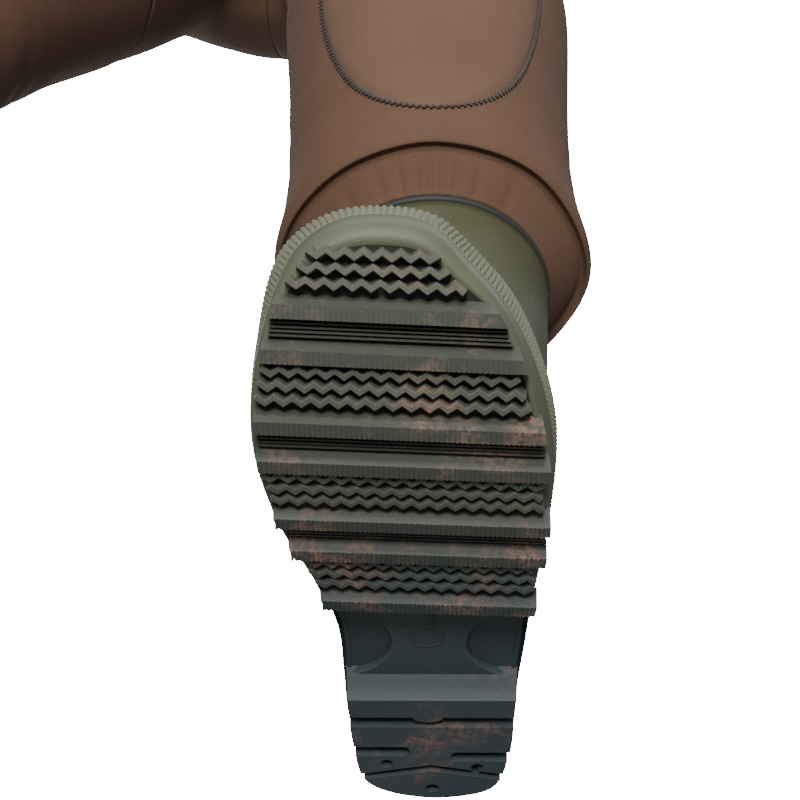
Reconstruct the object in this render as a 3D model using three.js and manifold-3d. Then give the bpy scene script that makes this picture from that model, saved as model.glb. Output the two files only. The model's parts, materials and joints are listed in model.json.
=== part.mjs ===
// Chest waders: neoprene bib and legs on moulded rubber boots, with elastic braces and a wading belt.
// Millimetres, +Z up. The origin is where the braces rest on the wearer's shoulders, midway between them.
// The wearer faces -Y and their left side is +X. The legs hang apart, as on a mannequin.
import * as THREE from "three";
import { mergeVertices } from "three/addons/utils/BufferGeometryUtils.js";
import Module from "manifold-3d";

const wasm = await Module();
wasm.setup();

// ---- Driving dimensions ----
const CLEAR = 0.4; // gap between neighbours that are sewn, glued or clipped together
const NEOPRENE = 5; // thickness of the fabric
const SPLAY = THREE.MathUtils.degToRad(11); // each leg's angle outwards
const HIP = { x: 122, z: -650 }; // centre of each hip
const LEG_LENGTH = 850; // hip to tread
const THIGH_LEAN = Math.tan(THREE.MathUtils.degToRad(7)); // knee ahead of the hip
const SHIN_LEAN = Math.tan(THREE.MathUtils.degToRad(8)); // knee ahead of the ankle
const KNEE_Z = -350; // below the hip
const ANKLE_Y = -KNEE_Z * -THIGH_LEAN + (LEG_LENGTH + KNEE_Z) * SHIN_LEAN; // behind the hip
const LEG_SIDES = 20;

// Leg stations below the hip, and the fabric's outer radius there.
const THIGH_TOP = -200;
const KNEE_TOP = -265;
const KNEE_BOTTOM = -435;
const SHIN_BOTTOM = -505;
const LEG_RADII = [
  [0, 124],
  [-120, 118],
  [THIGH_TOP, 109],
  [KNEE_TOP, 101],
  [KNEE_Z, 96],
  [KNEE_BOTTOM, 90],
  [SHIN_BOTTOM, 87],
  [-900, 87],
];
const KNEE_PAD = {
  gap: 3,
  thick: 2.6,
  half: 0.8,
  columns: 8,
  stations: [-500, KNEE_BOTTOM, KNEE_Z - 40, KNEE_Z, KNEE_Z + 40, KNEE_TOP],
};

// Boot: origin on the tread under the ankle, toe towards -Y, outer side +X.
const RIM_HEIGHT = 250;
const RIM_RADIUS = 66;
const BOOT_WALL = 3.5;
const RAND = { low: 26, high: 50, thick: 2.1 };
const SOLE_PLATE = { low: 16, high: 25.6 };
const TREAD = { depth: 8, margin: 6, pitch: 48, start: -224, zigzag: 20, bar: 10.5 };
const WAIST = { front: -47, back: 6 };
const HEEL_SLOTS = { width: 5, depth: 9, front: 21, side: 42, inner: 14 };
// The toe curls up. At each distance along the flat sole: where it ends up, how far it rises, and its slope in degrees.
const TOE_CURL = [[300, 300, 0, 0], [-114, -114, 0, 0], [-150, -149.7, 3.8, 11.8], [-190, -187.5, 16.8, 23.8], [-250, -238, 48, 36]];
const INSOLE = { inset: 9, thick: 4 };
const COLLAR = { height: 9, thick: 2.2 };

const BIB = { front: -150, side: -268, back: -236, flat: 34 };
const BIB_LEVEL = -310; // the bib is straight above here

// Torso stations: height and half widths across and front to back.
const TORSO_BOTTOM = -560;
const TORSO = [
  [-740, 150, 70],
  [-715, 185, 112],
  [-680, 212, 140],
  [-640, 224, 152],
  [TORSO_BOTTOM, 220, 152],
  [-430, 204, 148],
  [BIB_LEVEL, 222, 160],
  [0, 222, 160],
];
// Braces, belt and pocket.
const WEBBING = { width: 40, thick: 2.4 };
const BRACE = { x: 95, seam: 72 };
const BUCKLE = { width: 46, thick: 10, length: 42, base: 14, tongue: 26, travel: 22 };
const SLIDER = { at: 96, height: 18 };
const BELT = { z: -430, offset: 5.5, out: 7 };
const BELT_LOOP = { width: 14, reach: 34, stand: 7.6 };
const POCKET = { width: 190, top: -247, bottom: -397, depth: 22, wall: 3 };
const FLAP = { overlap: 4, drop: 58, thick: 3, base: 8 };
const D_RING = { x: -128, z: -196, width: 30, height: 24, wire: 3 };

// ---- Materials ----
const finish = (color, roughness, metalness = 0) =>
  new THREE.MeshStandardMaterial({ color, roughness, metalness });
const NEOPRENE_BROWN = finish(0x6b5446, 0.95);
const BOOT_GREEN = finish(0x5c6049, 0.6);
const TREAD_RUBBER = finish(0x34403a, 0.75);
const FELT = finish(0x55524c, 1);
const WEB_BLACK = finish(0x1c1a19, 0.9);
const PLASTIC = finish(0x141414, 0.45);
const STEEL = finish(0xb0b0ad, 0.3, 1);

// ---- Mesh helpers ----
const v3 = (x, y, z) => new THREE.Vector3(x, y, z);

function part(name, geometry, material) {
  const mesh = new THREE.Mesh(geometry, material);
  mesh.name = name;
  return mesh;
}

function geometryOf(points, faces) {
  const geometry = new THREE.BufferGeometry();
  geometry.setAttribute("position", new THREE.Float32BufferAttribute(points.flatMap((p) => [p.x, p.y, p.z]), 3));
  geometry.setIndex(faces.flat());
  return geometry;
}

// The faces of a grid of rings, each ring running anticlockwise seen from above and the rings going up.
function ringFaces(start, sides, rows, flip) {
  const faces = [];
  for (let j = 0; j < rows - 1; j++)
    for (let i = 0; i < sides; i++) {
      const a = start + j * sides + i;
      const b = start + j * sides + ((i + 1) % sides);
      const c = b + sides;
      const d = a + sides;
      faces.push(flip ? [a, c, b] : [a, b, c], flip ? [a, d, c] : [a, c, d]);
    }
  return faces;
}

// A solid skinned over rings from bottom to top, with flat ends.
function loft(rings) {
  const sides = rings[0].length;
  const points = rings.flat();
  const faces = ringFaces(0, sides, rings.length, false);
  for (const [row, flip] of [[0, true], [rings.length - 1, false]]) {
    const centre = rings[row].reduce((sum, p) => sum.add(p), v3(0, 0, 0)).divideScalar(sides);
    points.push(centre);
    for (let i = 0; i < sides; i++) {
      const a = row * sides + i;
      const b = row * sides + ((i + 1) % sides);
      faces.push(flip ? [points.length - 1, b, a] : [points.length - 1, a, b]);
    }
  }
  return geometryOf(points, faces);
}

// A curved panel: each row is its outer edge points and then its inner ones backwards, so the ends close as strips.
function panel(rows) {
  const sides = rows[0].length;
  const faces = ringFaces(0, sides, rows.length, false);
  for (const [row, flip] of [[0, true], [rows.length - 1, false]])
    for (let i = 0; i < sides / 2 - 1; i++) {
      const [a, b] = [row * sides + i, row * sides + i + 1];
      const [c, d] = [row * sides + sides - 2 - i, row * sides + sides - 1 - i];
      faces.push(flip ? [a, c, b] : [a, b, c], flip ? [a, d, c] : [a, c, d]);
    }
  return facingOut(geometryOf(rows.flat(), faces));
}

// A wall between outer and inner rings, open at both ends like a sleeve.
function sleeve(outer, inner) {
  const sides = outer[0].length;
  const rows = outer.length;
  const first = rows * sides;
  const faces = [...ringFaces(0, sides, rows, false), ...ringFaces(first, sides, rows, true)];
  for (const [row, flip] of [[0, true], [rows - 1, false]])
    for (let i = 0; i < sides; i++) {
      const a = row * sides + i;
      const b = row * sides + ((i + 1) % sides);
      const c = first + b;
      const d = first + a;
      faces.push(flip ? [a, c, b] : [a, b, c], flip ? [a, d, c] : [a, c, d]);
    }
  return geometryOf([...outer.flat(), ...inner.flat()], faces);
}

// A flat strap swept through points. Each widthways vector lies across the strap, and it thickens towards the outside.
function strap(path, across, width, thick, lift = 0) {
  const rings = path.map((p, i) => {
    const along = path[Math.min(i + 1, path.length - 1)].clone().sub(path[Math.max(i - 1, 0)]).normalize();
    const w = across[i].clone().addScaledVector(along, -across[i].dot(along)).normalize();
    const out = w.clone().cross(along);
    const at = (side, height) => p.clone().addScaledVector(w, side * width / 2).addScaledVector(out, height + lift);
    return [at(-1, 0), at(-1, thick), at(1, thick), at(1, 0)];
  });
  return facingOut(loft(rings));
}

const toSolid = (geometry) => {
  const bare = (geometry.index ? geometry : mergeVertices(geometry)).clone();
  bare.deleteAttribute("normal");
  bare.deleteAttribute("uv");
  const merged = mergeVertices(bare, 1e-3);
  return new wasm.Manifold(
    new wasm.Mesh({
      numProp: 3,
      vertProperties: new Float32Array(merged.attributes.position.array),
      triVerts: new Uint32Array(merged.index.array),
    }),
  );
};

const toGeometry = (solid) => {
  const mesh = solid.getMesh();
  const geometry = new THREE.BufferGeometry();
  geometry.setAttribute("position", new THREE.BufferAttribute(new Float32Array(mesh.vertProperties), 3));
  geometry.setIndex(new THREE.BufferAttribute(new Uint32Array(mesh.triVerts), 1));
  return geometry;
};

// Turns a closed geometry the right way out, whichever way its profile ran.
function facingOut(geometry) {
  const p = geometry.attributes.position;
  const index = geometry.index.array;
  const [a, b, c] = [v3(0, 0, 0), v3(0, 0, 0), v3(0, 0, 0)];
  let volume = 0;
  for (let i = 0; i < index.length; i += 3) {
    a.fromBufferAttribute(p, index[i]);
    b.fromBufferAttribute(p, index[i + 1]);
    c.fromBufferAttribute(p, index[i + 2]);
    volume += a.dot(b.cross(c));
  }
  if (volume < 0) for (let i = 0; i < index.length; i += 3) [index[i + 1], index[i + 2]] = [index[i + 2], index[i + 1]];
  return geometry;
}

// A box between two corners.
function box(x0, x1, y0, y1, z0, z1) {
  return new THREE.BoxGeometry(x1 - x0, y1 - y0, z1 - z0).translate((x0 + x1) / 2, (y0 + y1) / 2, (z0 + z1) / 2);
}

const joined = (...geometries) => geometries.map(toSolid).reduce((a, b) => a.add(b));
const cut = (geometry, ...holes) => holes.map(toSolid).reduce((a, b) => a.subtract(b), toSolid(geometry));

// Straight-line interpolation in a table of [key, value, value...] rows with falling or rising keys.
function lookUp(table, key, column) {
  const rows = [...table].sort((a, b) => a[0] - b[0]);
  const upper = rows.findIndex((r) => r[0] >= key);
  if (upper <= 0) return rows[upper < 0 ? rows.length - 1 : 0][column];
  const [low, high] = [rows[upper - 1], rows[upper]];
  return THREE.MathUtils.lerp(low[column], high[column], (key - low[0]) / (high[0] - low[0]));
}

// ---- Legs, in a leg's own frame: origin at the hip, leg hanging along -Z, outer side +X ----
const legCentreY = (z) =>
  z > KNEE_Z ? z * THIGH_LEAN : KNEE_Z * THIGH_LEAN - (z - KNEE_Z) * SHIN_LEAN;

function legRing(z, inset = 0, radius = lookUp(LEG_RADII, z, 1)) {
  return Array.from({ length: LEG_SIDES }, (_, i) => {
    const turn = (i / LEG_SIDES) * 2 * Math.PI;
    const r = radius - inset;
    return v3(r * Math.cos(turn), legCentreY(z) + r * Math.sin(turn), z);
  });
}

const legTube = (stations) =>
  sleeve(stations.map((z) => legRing(z)), stations.map((z) => legRing(z, NEOPRENE)));

// The loose sleeve above the boot: it rolls out over the rim, then tucks into the boot's collar.
function gaiter() {
  const rim = RIM_HEIGHT - LEG_LENGTH + COLLAR.height + CLEAR;
  const stations = [
    [rim, RIM_RADIUS - 3],
    [rim + 10, RIM_RADIUS + 12],
    [rim + 24, 90],
    [rim + 50, 90],
    [SHIN_BOTTOM - CLEAR, 87],
  ];
  return sleeve(
    stations.map(([z, r]) => legRing(z, 0, r)),
    stations.map(([z, r]) => legRing(z, NEOPRENE, r)),
  );
}

// The reinforcement sewn over the front of the knee.
function kneePad() {
  const { columns, half, gap, thick } = KNEE_PAD;
  const rows = KNEE_PAD.stations.map((z) => {
    const row = (height) =>
      Array.from({ length: columns + 1 }, (_, i) => {
        const turn = -Math.PI / 2 + half * ((2 * i) / columns - 1);
        const r = lookUp(LEG_RADII, z, 1) + height;
        return v3(r * Math.cos(turn), legCentreY(z) + r * Math.sin(turn), z);
      });
    return [...row(gap + thick), ...row(gap).reverse()];
  });
  return panel(rows);
}

// ---- Boots ----
const SOLE_POINTS = [
  [-27, -239], [-8, -235], [7, -218], [22, -198], [34, -172], [42, -140], [45, -110], [44, -72], [40, -30], [37, 10],
  [36, 50], [28, 78], [-4, 86], [-34, 74], [-42, 40], [-44, 5], [-46, -25], [-56, -60], [-70, -95], [-78, -140],
  [-74, -182], [-60, -222], [-44, -236],
];
const OUTLINE_SIDES = 40;
const SOLE_CURVE = new THREE.CatmullRomCurve3(SOLE_POINTS.map(([x, y]) => v3(x, y, 0)), true);
const OUTLINE = SOLE_CURVE.getSpacedPoints(OUTLINE_SIDES).slice(0, OUTLINE_SIDES);

// The sole's outline moved inwards by a distance, running anticlockwise from above.
function soleOutline(inset) {
  return OUTLINE.map((p, i) => {
    const before = OUTLINE[(i + OUTLINE_SIDES - 1) % OUTLINE_SIDES];
    const after = OUTLINE[(i + 1) % OUTLINE_SIDES];
    const along = after.clone().sub(before).normalize();
    return v3(p.x - along.y * inset, p.y + along.x * inset, 0);
  });
}

const raised = (ring, height) => ring.map((p) => v3(p.x, p.y, height));
const soleSlab = (inset, low, high) => loft([raised(soleOutline(inset), low), raised(soleOutline(inset), high)]);

// Bends a flat-drawn boot part along the curl of the toe. Above the instep the curl fades out.
function curlToe(geometry, fadeFrom = 1000) {
  const solid = toSolid(geometry);
  const stretches = TOE_CURL.slice(1).map(([front], i) => {
    const back = TOE_CURL[i][0];
    const stretch = toGeometry(solid.intersect(toSolid(box(-150, 150, front, back, -50, 400))));
    const p = stretch.attributes.position;
    for (let j = 0; j < p.count; j++) {
      const height = p.getZ(j);
      const share = (p.getY(j) - back) / (front - back);
      const [from, to] = [TOE_CURL[i], TOE_CURL[i + 1]].map(([, y, rise, slope]) => {
        const turn = THREE.MathUtils.degToRad(slope);
        return [y + height * Math.sin(turn), rise + height * Math.cos(turn)];
      });
      const fade = 1 - THREE.MathUtils.smoothstep(height, fadeFrom, fadeFrom + 60);
      p.setX(j, snap(p.getX(j)));
      p.setY(j, snap(THREE.MathUtils.lerp(p.getY(j), THREE.MathUtils.lerp(from[0], to[0], share), fade)));
      p.setZ(j, snap(THREE.MathUtils.lerp(height, THREE.MathUtils.lerp(from[1], to[1], share), fade)));
    }
    return stretch;
  });
  const [main] = joined(...stretches).decompose().sort((a, b) => b.volume() - a.volume()); // drops hairline slivers
  return welded(toGeometry(main));
}

const snap = (length) => Math.round(length * 200) / 200;

// Merges points that all but touch, and drops the triangles that collapse.
function welded(geometry) {
  const merged = mergeVertices(geometry, 0.02);
  const index = merged.index.array;
  const kept = [];
  for (let i = 0; i < index.length; i += 3) {
    const [a, b, c] = [index[i], index[i + 1], index[i + 2]];
    if (a !== b && b !== c && a !== c) kept.push(a, b, c);
  }
  merged.setIndex(kept);
  return merged;
}

// Height, front, back, half width, and how round the section is.
const BOOT_STATIONS = [
  [RAND.low, -236.5, 83, 1, 0],
  [RAND.high + 2, -231, 82, 0.98, 0],
  [66, -212, 80, 0.93, 0.1],
  [80, -180, 76, 0.86, 0.25],
  [98, -146, 70, 0.82, 0.5],
  [120, -118, 58, 0.84, 0.75],
  [150, -100, 44, 0.88, 1],
  [200, -98, 35, 0.94, 1],
  [RIM_HEIGHT, -RIM_HEIGHT * SHIN_LEAN - RIM_RADIUS, -RIM_HEIGHT * SHIN_LEAN + RIM_RADIUS, 1, 1],
];

function bootRing([height, front, back, wide, round], inset) {
  const base = soleOutline(RAND.thick + CLEAR);
  const [lowY, highY] = [-236.5, 83];
  return base.map((p) => {
    const share = (p.y - lowY) / (highY - lowY);
    const foot = v3(p.x * wide, THREE.MathUtils.lerp(front, back, share), height);
    const turn = Math.atan2(share - 0.5, (p.x + 8) / 110);
    const half = (back - front) / 2;
    const leg = v3(RIM_RADIUS * wide * Math.cos(turn), (front + back) / 2 + half * Math.sin(turn), height);
    const centre = v3(0, (front + back) / 2, height);
    const outer = foot.lerp(leg, round);
    return outer.addScaledVector(centre.sub(outer).normalize(), inset);
  });
}

function bootShell() {
  const outer = BOOT_STATIONS.map((s) => bootRing(s, 0));
  const inner = BOOT_STATIONS.map((s) => bootRing(s, BOOT_WALL));
  return curlToe(sleeve(outer, inner), 90);
}

// The tread: blocks of zigzag cleats between ribbed bars, each unit one pitch long, then a waist and a slotted heel.
function treadBars() {
  const bars = [];
  for (let unit = 0; unit < 4; unit++) {
    const start = TREAD.start + unit * TREAD.pitch;
    bars.push([start, start + TREAD.zigzag, 6]);
    bars.push([start + TREAD.zigzag + 0.6, start + TREAD.zigzag + TREAD.bar, TREAD.depth]);
    if (unit < 3) bars.push([start + TREAD.pitch - TREAD.bar - 0.4, start + TREAD.pitch - 0.6, TREAD.depth]);
  }
  return bars;
}

function outsole() {
  const base = SOLE_PLATE.low - TREAD.depth;
  let solid = joined(soleSlab(0, SOLE_PLATE.low, SOLE_PLATE.high));
  const forefoot = toSolid(soleSlab(0, base, SOLE_PLATE.low + 0.1));
  solid = solid.add(forefoot.intersect(toSolid(box(-100, 100, -300, WAIST.front, 0, 20))));
  const cleats = toSolid(soleSlab(TREAD.margin, 0, base + 0.1));
  for (const [from, to, depth] of treadBars())
    solid = solid.add(cleats.intersect(toSolid(box(-100, 100, from, to, TREAD.depth - depth, 20))));
  let heel = toSolid(soleSlab(1, 0, SOLE_PLATE.low + 0.1)).intersect(toSolid(box(-100, 100, WAIST.back, 100, -1, 20)));
  const { width, depth, front, side, inner } = HEEL_SLOTS;
  for (const [x0, x1, y] of [[-60, 60, front], [-60, -inner, side], [inner, 60, side]])
    heel = heel.subtract(toSolid(box(x0, x1, y, y + width, -1, depth)));
  return curlToe(toGeometry(solid.add(heel)));
}

function rand() {
  const rings = (inset) => [RAND.low, RAND.high].map((height) => raised(soleOutline(inset), height));
  return curlToe(sleeve(rings(0), rings(RAND.thick)));
}

// The rolled collar that closes the neoprene into the boot.
function bootCollar() {
  const centre = -RIM_HEIGHT * SHIN_LEAN;
  const ring = (radius, height) =>
    Array.from({ length: LEG_SIDES }, (_, i) => {
      const turn = (i / LEG_SIDES) * 2 * Math.PI;
      return v3(radius * Math.cos(turn), centre + radius * Math.sin(turn), height);
    });
  const heights = [RIM_HEIGHT + CLEAR, RIM_HEIGHT + COLLAR.height];
  return sleeve(
    heights.map((h) => ring(RIM_RADIUS + COLLAR.thick / 2, h)),
    heights.map((h) => ring(RIM_RADIUS - BOOT_WALL, h)),
  );
}

function boot(side) {
  const group = new THREE.Group();
  group.position.set(0, ANKLE_Y, -LEG_LENGTH);
  const insole = soleSlab(INSOLE.inset, SOLE_PLATE.high + CLEAR, SOLE_PLATE.high + CLEAR + INSOLE.thick);
  group.add(
    part(`outsole_${side}`, outsole(), TREAD_RUBBER),
    part(`rand_${side}`, rand(), BOOT_GREEN),
    part(`boot_shell_${side}`, bootShell(), BOOT_GREEN),
    part(`insole_${side}`, curlToe(insole), FELT),
    part(`boot_collar_${side}`, bootCollar(), BOOT_GREEN),
  );
  return group;
}

// ---- Torso ----
function torsoRing(z, inset = 0, sides = 32) {
  return Array.from({ length: sides }, (_, i) => {
    const turn = (i / sides) * 2 * Math.PI;
    return v3((lookUp(TORSO, z, 1) - inset) * Math.cos(turn), (lookUp(TORSO, z, 2) - inset) * Math.sin(turn), z);
  });
}

// The seat and thigh of one side: half the pelvis joined to the top of the leg, hollow.
function hip(legMatrix) {
  const pelvis = (inset, top) =>
    loft([...TORSO.slice(0, 4).map(([z]) => torsoRing(z + inset, inset)), torsoRing(top, inset)]);
  const thigh = (inset, bottom) =>
    loft([[bottom], [-120], [-75], [-10, 92]].map(([z, r]) => legRing(z, inset, r))).applyMatrix4(legMatrix);
  const outer = joined(pelvis(0, TORSO_BOTTOM - CLEAR), thigh(0, THIGH_TOP + CLEAR));
  const inner = joined(pelvis(NEOPRENE, TORSO_BOTTOM + 5), thigh(NEOPRENE, THIGH_TOP - 5));
  const half = toSolid(box(CLEAR / 2, 400, -400, 400, -1000, 0));
  return toGeometry(outer.subtract(inner).intersect(half));
}

// Height of the bib's top edge at an angle from the front, in degrees.
function bibTop(angle) {
  const a = Math.abs(((angle + 180) % 360) - 180);
  if (a < BIB.flat) return BIB.front;
  if (a < 90) return THREE.MathUtils.lerp(BIB.front, BIB.side, THREE.MathUtils.smoothstep(a, BIB.flat, 90));
  return THREE.MathUtils.lerp(BIB.side, BIB.back, THREE.MathUtils.smoothstep(a, 90, 150));
}

// A point on the torso at an angle from the front (0) towards the wearer's left (90), at a height.
function torsoPoint(angle, z, out = 0) {
  const turn = THREE.MathUtils.degToRad(angle - 90);
  return v3((lookUp(TORSO, z, 1) + out) * Math.cos(turn), (lookUp(TORSO, z, 2) + out) * Math.sin(turn), z);
}

// The front or back half of the bib, between its side seams.
function bibPanel(from, to) {
  const columns = 18;
  const seam = 0.1;
  const levels = [() => TORSO_BOTTOM, () => BELT.z, () => BIB_LEVEL];
  for (const share of [0.35, 0.7, 1]) levels.push((top) => THREE.MathUtils.lerp(BIB_LEVEL, top, share));
  const rows = levels.map((height) => {
    const row = (out) =>
      Array.from({ length: columns + 1 }, (_, i) => {
        const angle = THREE.MathUtils.lerp(from + seam, to - seam, i / columns);
        return torsoPoint(angle, height(bibTop(angle)), out);
      });
    return [...row(0), ...row(-NEOPRENE).reverse()];
  });
  return panel(rows);
}

// The bound edge along the top of the bib.
function bibBinding() {
  const sides = 36;
  const ring = (out, height) =>
    Array.from({ length: sides }, (_, i) => {
      const angle = (i / sides) * 360;
      const z = bibTop(angle);
      return torsoPoint(angle, z, out).setZ(z + height);
    });
  return facingOut(sleeve([ring(1.5, 1.8), ring(1.5, 9)], [ring(-NEOPRENE - 1.5, 1.8), ring(-NEOPRENE - 1.5, 9)]));
}

// ---- Braces, belt, pocket and ring ----
// A side-release buckle: the socket holds the tongue, and both lie along +Z with their faces towards -Y.
function buckleSocket() {
  const { width, thick, length } = BUCKLE;
  const body = box(-width / 2, width / 2, -thick, 0, 0, length);
  const throat = box(-width / 2 + 5, width / 2 - 5, -thick + 2.5, -2.5, 10, length + 1);
  const windows = box(-width / 2 - 1, width / 2 + 1, -thick + 2.5, -2.5, 14, 28);
  return toGeometry(cut(body, throat, windows));
}

function bucklePlug() {
  const { width, thick, length, base, tongue } = BUCKLE;
  const bar = box(-width / 2, width / 2, -thick, 0, length + CLEAR, length + base);
  const slot = box(-width / 2 + 4, width / 2 - 4, -thick - 1, 1, length + 6, length + 10);
  const prong = (x) => box(x - 3, x + 3, -thick + 3, -3, length - tongue, length + 2);
  return toGeometry(joined(bar, prong(-14), prong(0), prong(14)).subtract(toSolid(slot)));
}

// A ladder-lock slider that the webbing runs through, along +Z.
function slider() {
  const { width, thick } = WEBBING;
  const frame = box(-width / 2 - 4, width / 2 + 4, -thick - 3, 2.5, 0, SLIDER.height);
  const gap = box(-width / 2 - CLEAR, width / 2 + CLEAR, -thick - CLEAR, CLEAR, -1, SLIDER.height + 1);
  return toGeometry(cut(frame, gap));
}

// Where a brace leaves the bib, and the straight stretch that carries its buckle towards the shoulder.
const BRACE_FOOT = v3(BRACE.x, -154, BIB.front + 4);
const BRACE_BEND = v3(83, -46, -26);
const FRONT_ACROSS = v3(0.95, 0.32, 0);

function braceGroup() {
  const along = BRACE_BEND.clone().sub(BRACE_FOOT).normalize();
  const across = FRONT_ACROSS.clone().addScaledVector(along, -FRONT_ACROSS.dot(along)).normalize();
  const group = new THREE.Group();
  group.position.copy(BRACE_FOOT);
  group.quaternion.setFromRotationMatrix(new THREE.Matrix4().makeBasis(across, along.clone().cross(across), along));
  return group;
}

// The rest of the brace: over the shoulder and down the back to the bib.
function bracePath() {
  const start = BRACE_BEND.clone();
  const points = [start, v3(79, -18, -5), v3(76, 8, 0), v3(73, 40, -9), v3(69, 78, -42), v3(65, 114, -98),
    v3(62, 146, -160), v3(60, 160.5, BIB.back + 26), v3(60, 160.5, BIB.back - 55)];
  const across = points.map((_, i) => v3(1, 0.34 * (1 - i / 4) - (i > 4 ? 0.15 : 0), 0));
  return [points, across];
}

function brace(side) {
  const { width, thick } = WEBBING;
  const group = new THREE.Group();
  const sewn = torsoPoint(27, BIB.front - BRACE.seam);
  const tabPath = [
    v3(BRACE.x, sewn.y - 2.6, BIB.front - BRACE.seam),
    v3(BRACE.x, sewn.y - 2.6, BIB.front - 8),
    v3(BRACE.x, -154, BIB.front - 1.5),
  ];
  group.add(part(`brace_tab_${side}`, strap(tabPath, tabPath.map(() => FRONT_ACROSS), width, thick), WEB_BLACK));
  const straight = braceGroup();
  const length = BRACE_BEND.distanceTo(BRACE_FOOT);
  const lead = box(-width / 2, width / 2, -thick, 0, BUCKLE.length + BUCKLE.base + CLEAR, length - CLEAR);
  const lock = part(`brace_slider_${side}`, slider(), PLASTIC);
  lock.position.z = SLIDER.at;
  straight.add(
    part(`brace_socket_${side}`, buckleSocket(), PLASTIC),
    part(`brace_plug_${side}`, bucklePlug(), PLASTIC),
    part(`brace_lead_${side}`, lead, WEB_BLACK),
    lock,
  );
  const [points, across] = bracePath();
  group.add(straight, part(`brace_${side}`, strap(points, across, width, thick), WEB_BLACK));
  return group;
}

// A strap lying round the torso between two angles.
function torsoStrap(from, to, z, width, thick, offset, steps) {
  const at = Array.from({ length: steps + 1 }, (_, i) => torsoPoint(THREE.MathUtils.lerp(from, to, i / steps), z, offset));
  return strap(at, at.map(() => v3(0, 0, -1)), width, thick);
}

function belt() {
  const { z, offset } = BELT;
  const group = new THREE.Group();
  const front = torsoPoint(0, z, BELT.out).y;
  group.add(
    part("belt_band", torsoStrap(17, 350, z, WEBBING.width, WEBBING.thick, offset, 36), WEB_BLACK),
    part("belt_lead", torsoStrap(6.6, 16.8, z, WEBBING.width, WEBBING.thick, offset, 2), WEB_BLACK),
  );
  const clasp = new THREE.Group();
  clasp.position.set(-34, front, z);
  clasp.rotation.y = Math.PI / 2;
  clasp.add(part("belt_socket", buckleSocket(), PLASTIC), part("belt_plug", bucklePlug(), PLASTIC));
  group.add(clasp);
  for (const [name, angle] of [["front_left", 58], ["back_left", 140], ["back_right", 220], ["front_right", 302]])
    group.add(part(`belt_loop_${name}`, beltLoop(angle), NEOPRENE_BROWN));
  return group;
}

function beltLoop(angle) {
  const { width, reach, stand } = BELT_LOOP;
  const across = torsoPoint(angle + 1, BELT.z).sub(torsoPoint(angle - 1, BELT.z)).normalize();
  const path = [[-reach, 1.6], [-reach + 8, stand], [reach - 8, stand], [reach, 2.6]].map(([dz, out]) =>
    torsoPoint(angle, BELT.z + dz, out),
  );
  return strap(path, path.map(() => across), width, 1.8, 0.2);
}

// A slab that follows the curve of the bib's front, between two heights and two distances out from it.
function frontSlab(half, bottom, top, near, far) {
  const columns = 8;
  const row = (z, out) =>
    Array.from({ length: columns + 1 }, (_, i) => {
      const x = half * ((2 * i) / columns - 1);
      const [a, b] = [lookUp(TORSO, -300, 1), lookUp(TORSO, -300, 2)];
      return v3(x, -b * Math.sqrt(1 - (x / a) ** 2) - out, z);
    });
  return panel([bottom, top].map((z) => [...row(z, far), ...row(z, near).reverse()]));
}

function pocket() {
  const { width, top, bottom, depth, wall } = POCKET;
  const group = new THREE.Group();
  const pouch = cut(
    frontSlab(width / 2, bottom, top, 1, depth),
    frontSlab(width / 2 - wall, bottom + wall, top + 2, 1 + wall, depth - wall),
  );
  const near = depth + CLEAR;
  const flapTop = top + FLAP.overlap;
  const flap = joined(
    frontSlab(width / 2 + 3, flapTop - FLAP.drop, flapTop, near, near + FLAP.thick),
    frontSlab(width / 2 + 3, flapTop - FLAP.thick, flapTop, 1, near + 1),
  );
  group.add(
    part("chest_pocket", toGeometry(pouch), NEOPRENE_BROWN),
    part("flap_base", frontSlab(width / 2 + 3, flapTop + CLEAR, flapTop + FLAP.base, 1, 1 + FLAP.thick), NEOPRENE_BROWN),
    part("pocket_flap", toGeometry(flap), NEOPRENE_BROWN),
  );
  return group;
}

// A D-shaped tool ring hanging in a sewn tab.
function toolRing() {
  const group = new THREE.Group();
  const { x, z, width, height, wire } = D_RING;
  const angle = -THREE.MathUtils.radToDeg(Math.asin(-x / TORSO[6][1]));
  const at = torsoPoint(angle, z);
  group.position.copy(at);
  const normal = v3(at.x / TORSO[6][1] ** 2, at.y / TORSO[6][2] ** 2, 0).normalize();
  group.rotation.z = Math.atan2(normal.x, -normal.y);
  const outline = (inset) => {
    const shape = inset ? new THREE.Path() : new THREE.Shape();
    const [w, h] = [width / 2 - inset, height - inset];
    shape.moveTo(w, -inset).lineTo(-w, -inset).lineTo(-w, -h + 9).lineTo(-w + 6, -h).lineTo(w - 6, -h).lineTo(w, -h + 9);
    return shape;
  };
  const shape = outline(0);
  shape.holes.push(outline(wire));
  const ring = new THREE.ExtrudeGeometry(shape, { depth: wire, bevelEnabled: false });
  ring.rotateX(Math.PI / 2).translate(0, -5, 0);
  const tab = cut(box(-9, 9, -10.4, -1.4, -8, 22), box(-10, 10, -8.9, -4.1, -wire - 0.9, 0.9));
  group.add(part("ring_tab", toGeometry(tab), WEB_BLACK), part("tool_ring", ring, STEEL));
  return group;
}

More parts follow.
